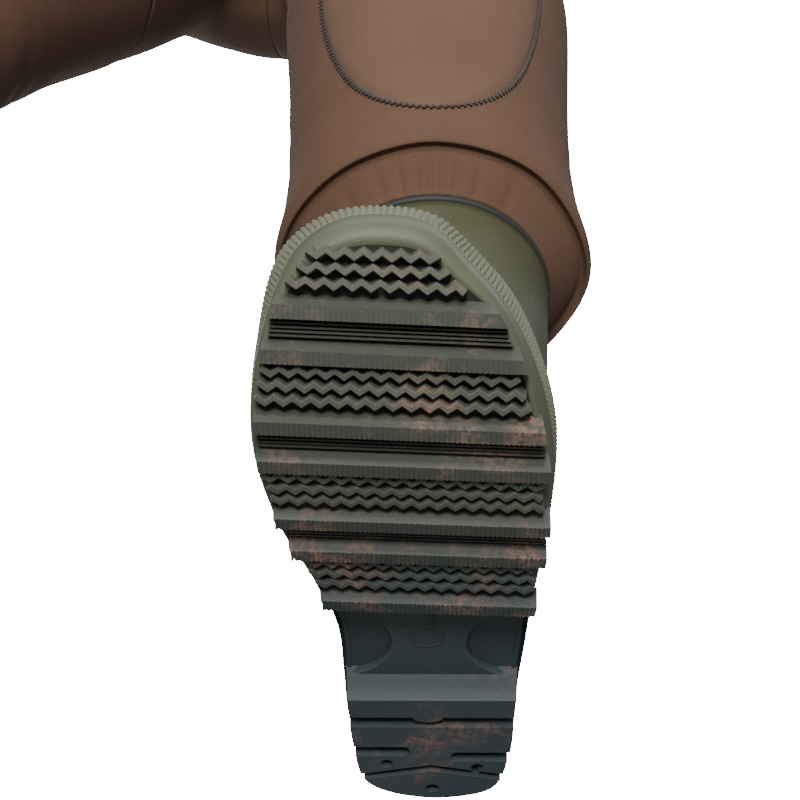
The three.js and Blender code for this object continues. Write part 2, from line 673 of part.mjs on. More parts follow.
// ---- Assembly ----
function sideOf(side) {
  const mirror = new THREE.Group();
  mirror.scale.x = side === "left" ? 1 : -1;
  const leg = new THREE.Group();
  leg.position.set(HIP.x, 0, HIP.z);
  leg.rotation.y = -SPLAY;
  leg.updateMatrix();
  leg.add(
    part(`thigh_${side}`, legTube([THIGH_TOP, KNEE_TOP + CLEAR].reverse()), NEOPRENE_BROWN),
    part(`knee_${side}`, legTube([KNEE_BOTTOM + CLEAR, KNEE_Z - 40, KNEE_Z, KNEE_Z + 40, KNEE_TOP]), NEOPRENE_BROWN),
    part(`shin_${side}`, legTube([SHIN_BOTTOM, KNEE_BOTTOM]), NEOPRENE_BROWN),
    part(`gaiter_${side}`, gaiter(), NEOPRENE_BROWN),
    part(`knee_pad_${side}`, kneePad(), NEOPRENE_BROWN),
    boot(side),
  );
  mirror.add(leg, part(`hip_${side}`, hip(leg.matrix), NEOPRENE_BROWN), brace(side));
  return mirror;
}

const waders = new THREE.Group();
waders.add(
  sideOf("left"),
  sideOf("right"),
  part("bib_front", bibPanel(-90, 90), NEOPRENE_BROWN),
  part("bib_back", bibPanel(90, 270), NEOPRENE_BROWN),
  part("bib_binding", bibBinding(), WEB_BLACK),
  belt(),
  pocket(),
  toolRing(),
);

export default waders;
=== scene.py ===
# %% [markdown]
# # Chest waders
# Neoprene bib and legs, moulded rubber boots, braces and a belt, built round a fixed model of the
# object. Each leg is drawn in its own frame, in millimetres, because a boot is far easier to shape
# upright than splayed. The origin of that frame is the hip, and +X points to the leg's outer side.

# %% Load the fixed model and keep its box
import json
import math

import bmesh
import bpy
from mathutils import Matrix, Vector, noise


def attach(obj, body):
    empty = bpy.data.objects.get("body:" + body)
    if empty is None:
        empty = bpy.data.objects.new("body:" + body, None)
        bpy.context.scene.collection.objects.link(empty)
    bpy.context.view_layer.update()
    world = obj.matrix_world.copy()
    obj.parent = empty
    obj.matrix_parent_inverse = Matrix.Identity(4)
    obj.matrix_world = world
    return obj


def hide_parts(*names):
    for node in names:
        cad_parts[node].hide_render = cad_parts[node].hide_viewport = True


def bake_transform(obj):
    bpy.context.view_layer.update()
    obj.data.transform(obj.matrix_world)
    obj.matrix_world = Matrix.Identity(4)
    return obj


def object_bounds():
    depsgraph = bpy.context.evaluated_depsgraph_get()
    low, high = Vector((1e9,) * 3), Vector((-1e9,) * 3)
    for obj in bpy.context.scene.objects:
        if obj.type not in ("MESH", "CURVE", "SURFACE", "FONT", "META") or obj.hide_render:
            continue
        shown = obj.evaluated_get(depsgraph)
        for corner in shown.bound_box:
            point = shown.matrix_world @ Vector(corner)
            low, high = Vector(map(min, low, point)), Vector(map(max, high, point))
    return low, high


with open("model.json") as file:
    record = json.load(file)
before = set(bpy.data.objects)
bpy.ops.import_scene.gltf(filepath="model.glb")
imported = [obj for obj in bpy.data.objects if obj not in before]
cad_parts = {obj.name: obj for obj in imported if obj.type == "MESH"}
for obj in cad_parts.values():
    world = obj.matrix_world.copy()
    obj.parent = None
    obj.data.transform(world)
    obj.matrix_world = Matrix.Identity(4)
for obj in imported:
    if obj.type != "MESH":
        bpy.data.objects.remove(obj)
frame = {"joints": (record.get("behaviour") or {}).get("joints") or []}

model_box = [list(corner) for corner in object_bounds()]
joints = {joint["name"]: joint for joint in frame["joints"]}
print("model box", model_box)

# %% [markdown]
# The hip joints say where each leg starts and how far it leans out. A leg's matrix takes millimetres
# in the leg's frame to metres in the world. The right leg is the mirror image of the left one, so a
# piece is shaped once and its mirrored copy has its faces turned round.

# %% Frames for the legs and boots
SIDES = ("left", "right")
LEG_LENGTH = 850
ANKLE_BACK = 27.3
hip = Vector(joints["hip_left"]["pos_m"])
axis = Vector(joints["hip_left"]["axis"])
SPLAY = math.atan2(-axis.z, -axis.x)
MILLIMETRES = Matrix.Scale(0.001, 4)
LEFT_LEG = Matrix.Translation(hip) @ Matrix.Rotation(-SPLAY, 4, "Y") @ MILLIMETRES
LEFT_BOOT = LEFT_LEG @ Matrix.Translation((0, ANKLE_BACK, -LEG_LENGTH))
MIRROR = Matrix.Diagonal((-1, 1, 1, 1))
print("splay", math.degrees(SPLAY))


def new_mesh(name, points, faces, material, matrix=MILLIMETRES, smooth=True):
    """A mesh object at the origin, with its place in its points."""
    mesh = bpy.data.meshes.new(name)
    mesh.from_pydata([tuple(p) for p in points], [], [tuple(f) for f in faces])
    mesh.transform(matrix)
    if matrix.determinant() < 0:
        mesh.flip_normals()
    mesh.polygons.foreach_set("use_smooth", [smooth] * len(mesh.polygons))
    mesh.materials.append(material)
    piece = bpy.data.objects.new(name, mesh)
    bpy.context.scene.collection.objects.link(piece)
    return piece


def mirrored(piece, name):
    """The right-hand copy of a left-hand piece."""
    copy = bpy.data.objects.new(name, piece.data.copy())
    bpy.context.scene.collection.objects.link(copy)
    copy.data.transform(MIRROR)
    copy.data.flip_normals()
    return copy


def sided(left):
    """A left-hand piece named _left and its mirrored copy, as {"left": object, "right": object}."""
    return {"left": left, "right": mirrored(left, left.name.replace("_left", "_right"))}


def pair(name, points, faces, material, matrix):
    """The left and right piece of one shape."""
    return sided(new_mesh(f"{name}_left", points, faces, material, matrix))


def fasten(piece, body, *nodes, slot):
    """The piece rides on a body and stands for nodes of the fixed model."""
    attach(piece, body)
    if nodes:
        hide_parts(*nodes)


def settle(pieces, body, *nodes, slot):
    """Fastens each side's piece, with the side filled into the names."""
    for side, piece in pieces.items():
        fasten(piece, body.format(side=side), *[node.format(side=side) for node in nodes], slot=slot)


def joined(name, pieces):
    """One mesh object from several, each keeping its material."""
    with bpy.context.temp_override(active_object=pieces[0], selected_editable_objects=pieces):
        bpy.ops.object.join()
    pieces[0].name = name
    return pieces[0]


def made_plain(piece):
    """Keeps what a piece's modifiers make of it as its mesh."""
    bpy.context.view_layer.update()
    evaluated = piece.evaluated_get(bpy.context.evaluated_depsgraph_get())
    result = bpy.data.meshes.new_from_object(evaluated)
    piece.modifiers.clear()
    piece.data = result
    return piece


# %% [markdown]
# Most pieces are rows of points skinned with quads: a closed sleeve, a strip, or a solid with capped
# ends. Building the faces from row and column numbers keeps every surface even and pointing outwards.

# %% Skins over rows of points
def wrap_faces(rows, columns):
    """Quads round rows that close on themselves, anticlockwise from above and going up."""
    faces = []
    for low in range(0, (rows - 1) * columns, columns):
        for i in range(columns):
            k = (i + 1) % columns
            faces.append([low + i, low + k, low + columns + k, low + columns + i])
    return faces


def ring_shape(rows):
    """Rows whose last one joins the first, as for a wall with an outside and an inside."""
    columns = len(rows[0])
    faces = wrap_faces(len(rows), columns)
    last = (len(rows) - 1) * columns
    faces += [[last + i, last + (i + 1) % columns, (i + 1) % columns, i] for i in range(columns)]
    return [p for row in rows for p in row], faces


def capped_shape(rows):
    """A solid skinned over rows, closed at both ends."""
    columns = len(rows[0])
    faces = wrap_faces(len(rows), columns)
    faces.append(list(range(columns))[::-1])
    faces.append([(len(rows) - 1) * columns + i for i in range(columns)])
    return [p for row in rows for p in row], faces


def prism(outline, low, high):
    """A flat-bottomed block over an anticlockwise outline of (x, y)."""
    return capped_shape([[(x, y, low) for x, y in outline], [(x, y, high) for x, y in outline]])


def merged(shapes):
    """Several (points, faces) as one."""
    points, faces = [], []
    for more_points, more_faces in shapes:
        start = len(points)
        points += list(more_points)
        faces += [[start + i for i in face] for face in more_faces]
    return points, faces


def clamped(value, low=0, high=1):
    return min(high, max(low, value))


def smoothstep(a, b, x):
    """0 at a, 1 at b, and a smooth way between them."""
    t = clamped((x - a) / (b - a))
    return t * t * (3 - 2 * t)


def mix(a, b, t):
    return a + (b - a) * t


def table_value(table, key, column=1):
    """Smooth reading between the rows of a table sorted by its first column."""
    keys = [row[0] for row in table]
    values = [row[column] for row in table]
    if key <= keys[0]:
        return values[0]
    if key >= keys[-1]:
        return values[-1]
    i = max(j for j in range(len(keys) - 1) if keys[j] <= key)
    span = keys[i + 1] - keys[i]
    t = (key - keys[i]) / span

    def slope(j):
        j0, j1 = max(0, j - 1), min(len(keys) - 1, j + 1)
        return (values[j1] - values[j0]) / (keys[j1] - keys[j0])

    a, b = slope(i) * span, slope(i + 1) * span
    return ((2 * t**3 - 3 * t**2 + 1) * values[i] + (t**3 - 2 * t**2 + t) * a
            + (3 * t**2 - 2 * t**3) * values[i + 1] + (t**3 - t**2) * b)


def full_turn(count):
    """Equally spaced angles round a circle."""
    return [2 * math.pi * i / count for i in range(count)]


def even_points(line, step):
    """Points at nearly equal steps along a line, with both its ends."""
    lengths = [0]
    for a, b in zip(line, line[1:]):
        lengths.append(lengths[-1] + (b - a).length)
    count = max(2, round(lengths[-1] / step))
    points, k = [], 0
    for i in range(count + 1):
        gone = lengths[-1] * i / count
        while k < len(line) - 2 and lengths[k + 1] < gone:
            k += 1
        share = min(1, (gone - lengths[k]) / (lengths[k + 1] - lengths[k]))
        points.append(line[k].lerp(line[k + 1], share))
    return points


# %% [markdown]
# ## Node helpers
# Materials and the repeated shapes are node trees written out here. A few helpers add a node with its
# values, mix colours, and begin and end a tree, so that each tree below reads as a short recipe.

# %% Nodes, masks and trees
def add(tree, kind, values=None, **settings):
    """A node with its settings, and values or links for its inputs."""
    node = tree.nodes.new(kind)
    for key, value in settings.items():
        setattr(node, key, value)
    for key, value in (values or {}).items():
        if isinstance(value, bpy.types.NodeSocket):
            tree.links.new(value, node.inputs[key])
        else:
            node.inputs[key].default_value = value
    return node


def math_node(tree, operation, a, b=0.0):
    return add(tree, "ShaderNodeMath", {0: a, 1: b}, operation=operation).outputs[0]


def ramp(tree, value, low, high):
    """A smooth mask from 0 at low to 1 at high."""
    return add(tree, "ShaderNodeMapRange", {"Value": value, "From Min": low, "From Max": high},
               interpolation_type="SMOOTHSTEP").outputs[0]


def mix_color(tree, factor, a, b):
    """A colour mix. The mix node's colours are its inputs 6 and 7 and its output 2."""
    node = tree.nodes.new("ShaderNodeMix")
    node.data_type = "RGBA"
    for place, value in ((0, factor), (6, a), (7, b)):
        if isinstance(value, bpy.types.NodeSocket):
            tree.links.new(value, node.inputs[place])
        else:
            node.inputs[place].default_value = value
    return node.outputs[2]


def node_group(name, inputs, outputs):
    """An empty shader group with number sockets, and its two end nodes."""
    group = bpy.data.node_groups.new(name, "ShaderNodeTree")
    for socket, value in inputs.items():
        made = group.interface.new_socket(socket, in_out="INPUT", socket_type="NodeSocketFloat")
        made.default_value = value
    for socket in outputs:
        group.interface.new_socket(socket, in_out="OUTPUT", socket_type="NodeSocketFloat")
    return group, group.nodes.new("NodeGroupInput"), group.nodes.new("NodeGroupOutput")


def geometry_tree(name, sockets, takes_mesh=False):
    """A geometry tree with its inputs, a material the last of them, and their sockets."""
    tree = bpy.data.node_groups.new(name, "GeometryNodeTree")
    if takes_mesh:
        tree.interface.new_socket("Geometry", in_out="INPUT", socket_type="NodeSocketGeometry")
    for socket, value in sockets.items():
        kind = "NodeSocketFloat" if isinstance(value, float) else "NodeSocketVector"
        tree.interface.new_socket(socket, in_out="INPUT", socket_type=kind).default_value = value
    tree.interface.new_socket("Material", in_out="INPUT", socket_type="NodeSocketMaterial")
    tree.interface.new_socket("Geometry", in_out="OUTPUT", socket_type="NodeSocketGeometry")
    return tree, add(tree, "NodeGroupInput").outputs


def end_tree(tree, geometry, material):
    """Makes the copies real, gives them their material and hands them out."""
    real = add(tree, "GeometryNodeRealizeInstances", {0: geometry})
    painted = add(tree, "GeometryNodeSetMaterial", {"Geometry": real.outputs[0], "Material": material})
    add(tree, "NodeGroupOutput", {0: painted.outputs[0]})
    return tree


# %% [markdown]
# ## Camera, light and floor
# The waders are seen from in front of and below the left boot, so that its sole fills the view. The
# floor shows only to a camera above it. A low camera and the lamps' light pass through it.

# %% Camera
# The ball of the foot, in the boot's millimetres, and the camera's places from it
BALL = Vector((-20, -166, 7.8))
EYE_FROM_BALL = Vector((-1, -347, -420.5))
TARGET_FROM_BALL = Vector((1, 0, -4))
LENS = 64.35
camera_data = bpy.data.cameras.new("camera")
camera = bpy.data.objects.new("camera", camera_data)
bpy.context.scene.collection.objects.link(camera)
bpy.context.scene.camera = camera
camera_data.sensor_width = 36
camera_data.lens = LENS
camera_data.clip_start, camera_data.clip_end = 0.01, 50
eye = LEFT_BOOT @ (BALL + EYE_FROM_BALL)
target = LEFT_BOOT @ (BALL + TARGET_FROM_BALL)
upright = (LEFT_BOOT.to_3x3() @ Vector((0, 0, 1))).normalized()
forward = (target - eye).normalized()
right = forward.cross(upright).normalized()
camera.matrix_world = Matrix((right, right.cross(forward), -forward)).transposed().to_4x4()
camera.location = eye
print("camera", tuple(eye))

# %% Lights, floor and backdrop
def soft_light(name, place, aim, power, size):
    """A large square lamp aimed at a point."""
    data = bpy.data.lights.new(name, "AREA")
    data.energy, data.size = power, size
    lamp = bpy.data.objects.new(name, data)
    bpy.context.scene.collection.objects.link(lamp)
    lamp.location = place
    lamp.rotation_euler = (Vector(aim) - Vector(place)).to_track_quat("-Z", "Y").to_euler()


soft_light("key", (0.35, -2.5, -1.55), (0.25, 0, -1.3), 27, 0.5)
soft_light("front_high", (-0.5, -2.4, 0.5), (0, 0, -0.7), 8, 1.2)
soft_light("front_low", (0.32, -1.9, -2.3), (0.3, -0.1, -1.35), 34, 0.5)
soft_light("top", (0, -0.3, 2.6), (0, 0, -1), 60, 4)
soft_light("back", (-1.6, 2.2, 0.6), (0, 0, -0.8), 42, 1.5)

world = bpy.data.worlds.new("studio")
bpy.context.scene.world = world
world.use_nodes = True
tree = world.node_tree
tree.nodes.clear()
ray = add(tree, "ShaderNodeLightPath").outputs
felt = add(tree, "ShaderNodeBackground", {"Color": (0.93, 0.96, 1, 1), "Strength": 0.22})
seen = add(tree, "ShaderNodeBackground", {"Color": (1, 1, 1, 1), "Strength": 30.0})
choose = add(tree, "ShaderNodeMixShader", {0: ray["Is Camera Ray"], 1: felt.outputs[0], 2: seen.outputs[0]})
add(tree, "ShaderNodeOutputWorld", {"Surface": choose.outputs[0]})

FLOOR_GAP, FLOOR_HALF = 0.004, 6000
floor_material = bpy.data.materials.new("floor")
floor_material.use_nodes = True
tree = floor_material.node_tree
paper = tree.nodes["Principled BSDF"]
paper.inputs["Base Color"].default_value = (0.86, 0.86, 0.86, 1)
paper.inputs["Roughness"].default_value = 0.9
clear = add(tree, "ShaderNodeBsdfTransparent")
ray = add(tree, "ShaderNodeLightPath").outputs
back = add(tree, "ShaderNodeNewGeometry").outputs["Backfacing"]
shown = add(tree, "ShaderNodeMath", {0: ray["Is Camera Ray"], 1: back}, operation="SUBTRACT", use_clamp=True)
one_sided = add(tree, "ShaderNodeMixShader", {0: shown.outputs[0], 1: clear.outputs[0], 2: paper.outputs[0]})
tree.links.new(one_sided.outputs[0], tree.nodes["Material Output"].inputs["Surface"])
floor_height = (model_box[0][2] - FLOOR_GAP) * 1000
corners = [(x * FLOOR_HALF, y * FLOOR_HALF, floor_height) for x, y in ((-1, -1), (1, -1), (1, 1), (-1, 1))]
floor = new_mesh("floor", corners, [(0, 1, 2, 3)], floor_material, smooth=False)

# %% [markdown]
# ## Shared surface effects
# Dust, fine grain and a knitted face are needed by several finishes, so each is a node group with
# named inputs. All of them read Object coordinates in metres, which stay still on a moving piece.

# %% Dust: smears that gather in patches, with fine specks
dust, entry, leave = node_group("dust", {"Amount": 0.5, "Size": 30.0, "Seed": 0.0}, ["Mask"])
place = add(dust, "ShaderNodeTexCoord").outputs["Object"]
patches = add(dust, "ShaderNodeTexNoise", {
    "Vector": place, "Scale": entry.outputs["Size"], "Detail": 5.0, "Roughness": 0.65, "Distortion": 0.6,
    "W": entry.outputs["Seed"]}, noise_dimensions="4D")
specks = add(dust, "ShaderNodeTexNoise", {"Vector": place, "Scale": 420.0, "Detail": 3.0, "Roughness": 0.7})
level = math_node(dust, "SUBTRACT", 0.74, math_node(dust, "MULTIPLY", entry.outputs["Amount"], 0.3))
full = math_node(dust, "ADD", level, 0.14)
smear = add(dust, "ShaderNodeMapRange", {
    "Value": patches.outputs[0], "From Min": level, "From Max": full}).outputs[0]
broken = ramp(dust, specks.outputs[0], 0.35, 0.62)
dust.links.new(math_node(dust, "MULTIPLY", smear, broken), leave.inputs["Mask"])

# %% Grain: fine unevenness for moulded rubber and plastic
grain, entry, leave = node_group("grain", {"Scale": 900.0, "Cloud Scale": 18.0}, ["Height", "Cloud"])
place = add(grain, "ShaderNodeTexCoord").outputs["Object"]
fine = add(grain, "ShaderNodeTexNoise", {"Vector": place, "Scale": entry.outputs["Scale"], "Detail": 4.0})
cloud = add(grain, "ShaderNodeTexNoise", {
    "Vector": place, "Scale": entry.outputs["Cloud Scale"], "Detail": 3.0})
grain.links.new(fine.outputs[0], leave.inputs["Height"])
grain.links.new(cloud.outputs[0], leave.inputs["Cloud"])

# %% Knit: the jersey face that is glued to the foam, as fine crossing loops
knit, entry, leave = node_group("knit", {"Loops": 1400.0}, ["Height", "Cloud"])
place = add(knit, "ShaderNodeTexCoord").outputs["Object"]
loops = add(knit, "ShaderNodeTexVoronoi", {
    "Vector": place, "Scale": entry.outputs["Loops"], "Randomness": 0.75})
fuzz = add(knit, "ShaderNodeTexNoise", {"Vector": place, "Scale": 2600.0, "Detail": 2.0})
cloud = add(knit, "ShaderNodeTexNoise", {"Vector": place, "Scale": 9.0, "Detail": 4.0, "Roughness": 0.6})
fuzz_share = math_node(knit, "MULTIPLY", fuzz.outputs[0], 0.6)
height = math_node(knit, "ADD", loops.outputs["Distance"], fuzz_share)
knit.links.new(height, leave.inputs["Height"])
knit.links.new(cloud.outputs[0], leave.inputs["Cloud"])

# %% [markdown]
# ## Finishes
# Rubber is a satin dielectric with faint grain and dust; neoprene is matt, with a little sheen from
# the fibres of its face. Constant values sit on the Principled shader's own sockets.

# %% Finish helpers
def finish_material(name, roughness, sheen=0.0, metallic=0.0, specular=0.5):
    material = bpy.data.materials.new(name)
    material.use_nodes = True
    tree = material.node_tree
    shader = tree.nodes["Principled BSDF"]
    shader.inputs["Roughness"].default_value = roughness
    shader.inputs["Metallic"].default_value = metallic
    shader.inputs["Sheen Weight"].default_value = sheen
    shader.inputs["Sheen Roughness"].default_value = 0.6
    shader.inputs["Specular IOR Level"].default_value = specular
    return material, tree, shader


def grouped(tree, group, **values):
    """A group node placed in a material with its own values."""
    node = tree.nodes.new("ShaderNodeGroup")
    node.node_tree = group
    for key, value in values.items():
        node.inputs[key.replace("_", " ")].default_value = value
    return node


def bump(tree, shader, height, distance, strength=1.0):
    node = add(tree, "ShaderNodeBump", {"Height": height, "Distance": distance, "Strength": strength})
    tree.links.new(node.outputs[0], shader.inputs["Normal"])


def gloss(tree, shader, mask, low, high):
    """Roughness from low to high as a mask goes from 0 to 1."""
    spread = add(tree, "ShaderNodeMapRange", {"Value": mask, "To Min": low, "To Max": high})
    tree.links.new(spread.outputs[0], shader.inputs["Roughness"])


def along_boot(tree):
    """Distance in metres along the boot from under the ankle, towards the heel."""
    place = add(tree, "ShaderNodeTexCoord").outputs["Object"]
    return add(tree, "ShaderNodeSeparateXYZ", {0: place}).outputs["Y"]


# %% Rubber finishes
# Distances in metres from under the ankle between which a finish reaches its heel colours, a painted shade
# that turns it darker and bluer towards the heel
HEEL_SHADE_FRONT, HEEL_SHADE_BACK = -0.115, 0.03
DUSTY_ROUGHNESS = 0.95


def rubber(name, color, dark, dust_color, dust_amount, roughness=0.5, fade=None):
    """Moulded rubber. fade gives a second dark and light colour, reached towards the heel, as painted shade.
    """
    material, tree, shader = finish_material(name, roughness, specular=0.35)
    surface = grouped(tree, grain)
    base = mix_color(tree, surface.outputs["Cloud"], (*dark, 1), (*color, 1))
    if fade:
        # Painted shade: the colour turns darker and bluer towards the heel
        heel_shade_share = ramp(tree, along_boot(tree), HEEL_SHADE_FRONT, HEEL_SHADE_BACK)
        far = mix_color(tree, surface.outputs["Cloud"], (*fade[0], 1), (*fade[1], 1))
        base = mix_color(tree, heel_shade_share, base, far)
    dirt = grouped(tree, dust, Amount=dust_amount, Size=30.0)
    shown = mix_color(tree, dirt.outputs["Mask"], base, (*dust_color, 1))
    tree.links.new(shown, shader.inputs["Base Color"])
    gloss(tree, shader, dirt.outputs["Mask"], roughness, DUSTY_ROUGHNESS)
    bump(tree, shader, surface.outputs["Height"], 0.00012)
    return material


RUST = (0.25, 0.15, 0.115)
# Painted shade: the darker, bluer colours that the finishes take on towards the heel
SOLE_HEEL_SHADE = ((0.038, 0.056, 0.068), (0.072, 0.088, 0.093))
BAR_HEEL_SHADE = ((0.024, 0.036, 0.042), (0.046, 0.058, 0.062))
RECESS_HEEL_SHADE = ((0.016, 0.024, 0.027), (0.03, 0.038, 0.04))
RAND_HEEL_SHADE = ((0.03, 0.045, 0.05), (0.05, 0.065, 0.07))
tread_rubber = rubber("tread_rubber", (0.13, 0.14, 0.1), (0.075, 0.085, 0.066), RUST, 0.72, fade=SOLE_HEEL_SHADE)
bar_rubber = rubber("bar_rubber", (0.09, 0.098, 0.074), (0.055, 0.062, 0.05), RUST, 0.78, fade=BAR_HEEL_SHADE)
# The floor between the cleats is painted much darker than the tread, as painted shade in the recesses
shaded_recess_rubber = rubber("shaded_recess_rubber", (0.03, 0.033, 0.026), (0.02, 0.023, 0.019), RUST, 0.4, 0.6,
                       RECESS_HEEL_SHADE)
border_rubber = rubber("border_rubber", (0.125, 0.137, 0.085), (0.105, 0.116, 0.071), RUST, 0.15,
                       fade=SOLE_HEEL_SHADE)
rand_rubber = rubber("rand_rubber", (0.19, 0.195, 0.13), (0.15, 0.156, 0.105), RUST, 0.2, 0.55, RAND_HEEL_SHADE)
boot_rubber = rubber("boot_rubber", (0.092, 0.098, 0.05), (0.076, 0.082, 0.042), (0.16, 0.13, 0.09), 0.12,
                     0.42)
seam_rubber = rubber("seam_rubber", (0.05, 0.052, 0.048), (0.035, 0.037, 0.035), (0.1, 0.09, 0.08), 0.05, 0.6)

# %% Neoprene finishes
def foam_fabric(name, color, dark, loops=1400.0):
    """Knitted face on foam: matt, softly clouded, with the sheen of fine fibres."""
    material, tree, shader = finish_material(name, 0.92, sheen=0.02, specular=0.12)
    surface = grouped(tree, knit, Loops=loops)
    base = mix_color(tree, ramp(tree, surface.outputs["Cloud"], 0.3, 0.7), (*dark, 1), (*color, 1))
    weave = ramp(tree, surface.outputs["Height"], 0.2, 0.9)
    lit = (*[c * 1.35 for c in color], 1)
    shown = mix_color(tree, math_node(tree, "MULTIPLY", weave, 0.35), base, lit)
    dirt = grouped(tree, dust, Amount=0.12, Size=14.0)
    thin = math_node(tree, "MULTIPLY", dirt.outputs["Mask"], 0.25)
    shown = mix_color(tree, thin, shown, (0.4, 0.33, 0.28, 1))
    tree.links.new(shown, shader.inputs["Base Color"])
    bump(tree, shader, surface.outputs["Height"], 0.00022, 0.8)
    return material


neoprene = foam_fabric("neoprene", (0.148, 0.084, 0.054), (0.115, 0.064, 0.041))
patch_neoprene = foam_fabric("patch_neoprene", (0.165, 0.098, 0.066), (0.13, 0.077, 0.051))
insole_felt = foam_fabric("insole_felt", (0.16, 0.15, 0.135), (0.1, 0.095, 0.088), 700.0)

# %% Thread, webbing, plastic and steel
def thread_material():
    material, tree, shader = finish_material("thread", 0.6, sheen=0.2)
    place = add(tree, "ShaderNodeTexCoord").outputs["Object"]
    twist = add(tree, "ShaderNodeTexNoise", {"Vector": place, "Scale": 1500.0, "Detail": 2.0})
    shown = mix_color(tree, twist.outputs[0], (0.02, 0.014, 0.011, 1), (0.07, 0.05, 0.04, 1))
    tree.links.new(shown, shader.inputs["Base Color"])
    bump(tree, shader, twist.outputs[0], 0.0002)
    return material


WARP, WEFT = 0.0024, 0.0012


def webbing_material():
    """Ribbed webbing: lengthwise ribs crossed by the weft, drawn on the strap's own UV in metres."""
    material, tree, shader = finish_material("webbing", 0.75, sheen=0.25, specular=0.3)
    lie = add(tree, "ShaderNodeSeparateXYZ", {0: add(tree, "ShaderNodeUVMap", uv_map="weave").outputs[0]})
    across = math_node(tree, "SINE", math_node(tree, "MULTIPLY", lie.outputs["X"], 2 * math.pi / WARP))
    along = math_node(tree, "SINE", math_node(tree, "MULTIPLY", lie.outputs["Y"], 2 * math.pi / WEFT))
    crossed = math_node(tree, "MULTIPLY", across, along)
    woven = math_node(tree, "ADD", crossed, math_node(tree, "MULTIPLY", across, 0.6))
    surface = grouped(tree, knit, Loops=2200.0)
    level = ramp(tree, woven, -1.2, 1.2)
    shown = mix_color(tree, level, (0.012, 0.011, 0.01, 1), (0.045, 0.04, 0.037, 1))
    faded = mix_color(tree, ramp(tree, surface.outputs["Cloud"], 0.45, 0.75), shown, (0.06, 0.053, 0.047, 1))
    tree.links.new(faded, shader.inputs["Base Color"])
    bump(tree, shader, level, 0.0004)
    return material


def hard_material(name, color, dark, roughness, metallic=0.0, wear=(0.1, 0.1, 0.1)):
    """Moulded plastic or steel: fine grain, cloudy gloss and scuffs."""
    material, tree, shader = finish_material(name, roughness, metallic=metallic)
    surface = grouped(tree, grain, Scale=1600.0, Cloud_Scale=60.0)
    base = mix_color(tree, surface.outputs["Cloud"], (*dark, 1), (*color, 1))
    scuffs = grouped(tree, dust, Amount=0.15, Size=90.0)
    tree.links.new(mix_color(tree, scuffs.outputs["Mask"], base, (*wear, 1)), shader.inputs["Base Color"])
    gloss(tree, shader, surface.outputs["Cloud"], roughness * 0.8, roughness * 1.25)
    bump(tree, shader, surface.outputs["Height"], 0.00006)
    return material


thread = thread_material()
webbing = webbing_material()
plastic = hard_material("plastic", (0.028, 0.028, 0.03), (0.016, 0.016, 0.017), 0.42)
steel = hard_material("steel", (0.6, 0.59, 0.57), (0.45, 0.44, 0.43), 0.3, 1.0, (0.3, 0.28, 0.25))

# %% [markdown]
# ## Boot sole
# The sole is one moulding on the real boot: a plate that curls up at the toe, rows of zigzag cleats
# between ribbed bars, a waist with two scooped lobes, and a heel block cut by grooves. It is drawn
# flat, and one function then curls every point ahead of the ball of the foot.

# %% The sole's outline and curl
SOLE = [(-27, -239), (-8, -235), (7, -218), (22, -198), (34, -172), (42, -140), (45, -110), (44, -72),
        (40, -30), (37, 10), (36, 50), (28, 78), (-4, 86), (-34, 74), (-42, 40), (-44, 5), (-46, -25),
        (-56, -60), (-70, -95), (-78, -140), (-74, -182), (-60, -222), (-44, -236)]


def smooth_loop(corners, steps):
    """A closed centripetal curve through the corners."""
    points = []
    count = len(corners)
    for i in range(count):
        p = [Vector(corners[(i + k) % count]) for k in (-1, 0, 1, 2)]
        t = [0.0]
        for a, b in zip(p, p[1:]):
            t.append(t[-1] + (b - a).length ** 0.5)
        for s in range(steps):
            u = mix(t[1], t[2], s / steps)

            def between(a, b, k, m):
                return a * ((t[m] - u) / (t[m] - t[k])) + b * ((u - t[k]) / (t[m] - t[k]))

            a1, a2, a3 = (between(p[k], p[k + 1], k, k + 1) for k in (0, 1, 2))
            points.append(between(between(a1, a2, 0, 2), between(a2, a3, 1, 3), 1, 2))
    return points


EDGE = smooth_loop(SOLE, 12)
CURL_START = -114
CURL = 0.0029


def curled(points, fade_from=1000):
    """Points of a flat-drawn piece, bent along the toe's curl. Above fade_from the curl dies out."""
    bent = []
    for x, y, z in points:
        s = max(0, CURL_START - y)
        slope = math.atan(2 * CURL * s)
        back, rise = 2 / 3 * CURL**2 * s**3, CURL * s**2 - CURL**3 * s**4
        fade = 1 - smoothstep(fade_from, fade_from + 60, z)
        turned = (y + back + z * math.sin(slope), rise + z * math.cos(slope))
        bent.append((x, mix(y, turned[0], fade), mix(z, turned[1], fade)))
    return bent


def edge_ring(inset, stride=1):
    """The outline moved inwards."""
    count = len(EDGE)
    ring = []
    for i in range(0, count, stride):
        along = (EDGE[(i + 2) % count] - EDGE[i - 2]).normalized()
        ring.append((EDGE[i].x - along.y * inset, EDGE[i].y + along.x * inset))
    return ring


def span(y, inset):
    """The lowest and highest x of the outline, less an inset, at a distance along the boot."""
    ring = edge_ring(inset)
    crossings = []
    for (x0, y0), (x1, y1) in zip(ring, ring[1:] + ring[:1]):
        if (y0 - y) * (y1 - y) <= 0 and y0 != y1:
            crossings.append(mix(x0, x1, (y - y0) / (y1 - y0)))
    return (min(crossings), max(crossings)) if crossings else (0, 0)


SLANT = math.tan(math.radians(2.4))


def slanted(x, y):
    """The rows run slightly back towards the outer side."""
    return y + SLANT * (x + 12)


print("sole", len(EDGE), "points round; the toe ends at", curled([(0, -239, 0)]))

# %% The plate: a floor between the cleats, and a bevelled border
# Heights above the ground: the plate's top, the floor between the cleats, and the arch of the waist
PLATE_TOP, RECESS, ARCH = 25.6, 8.5, 16
WAIST_FRONT = -47


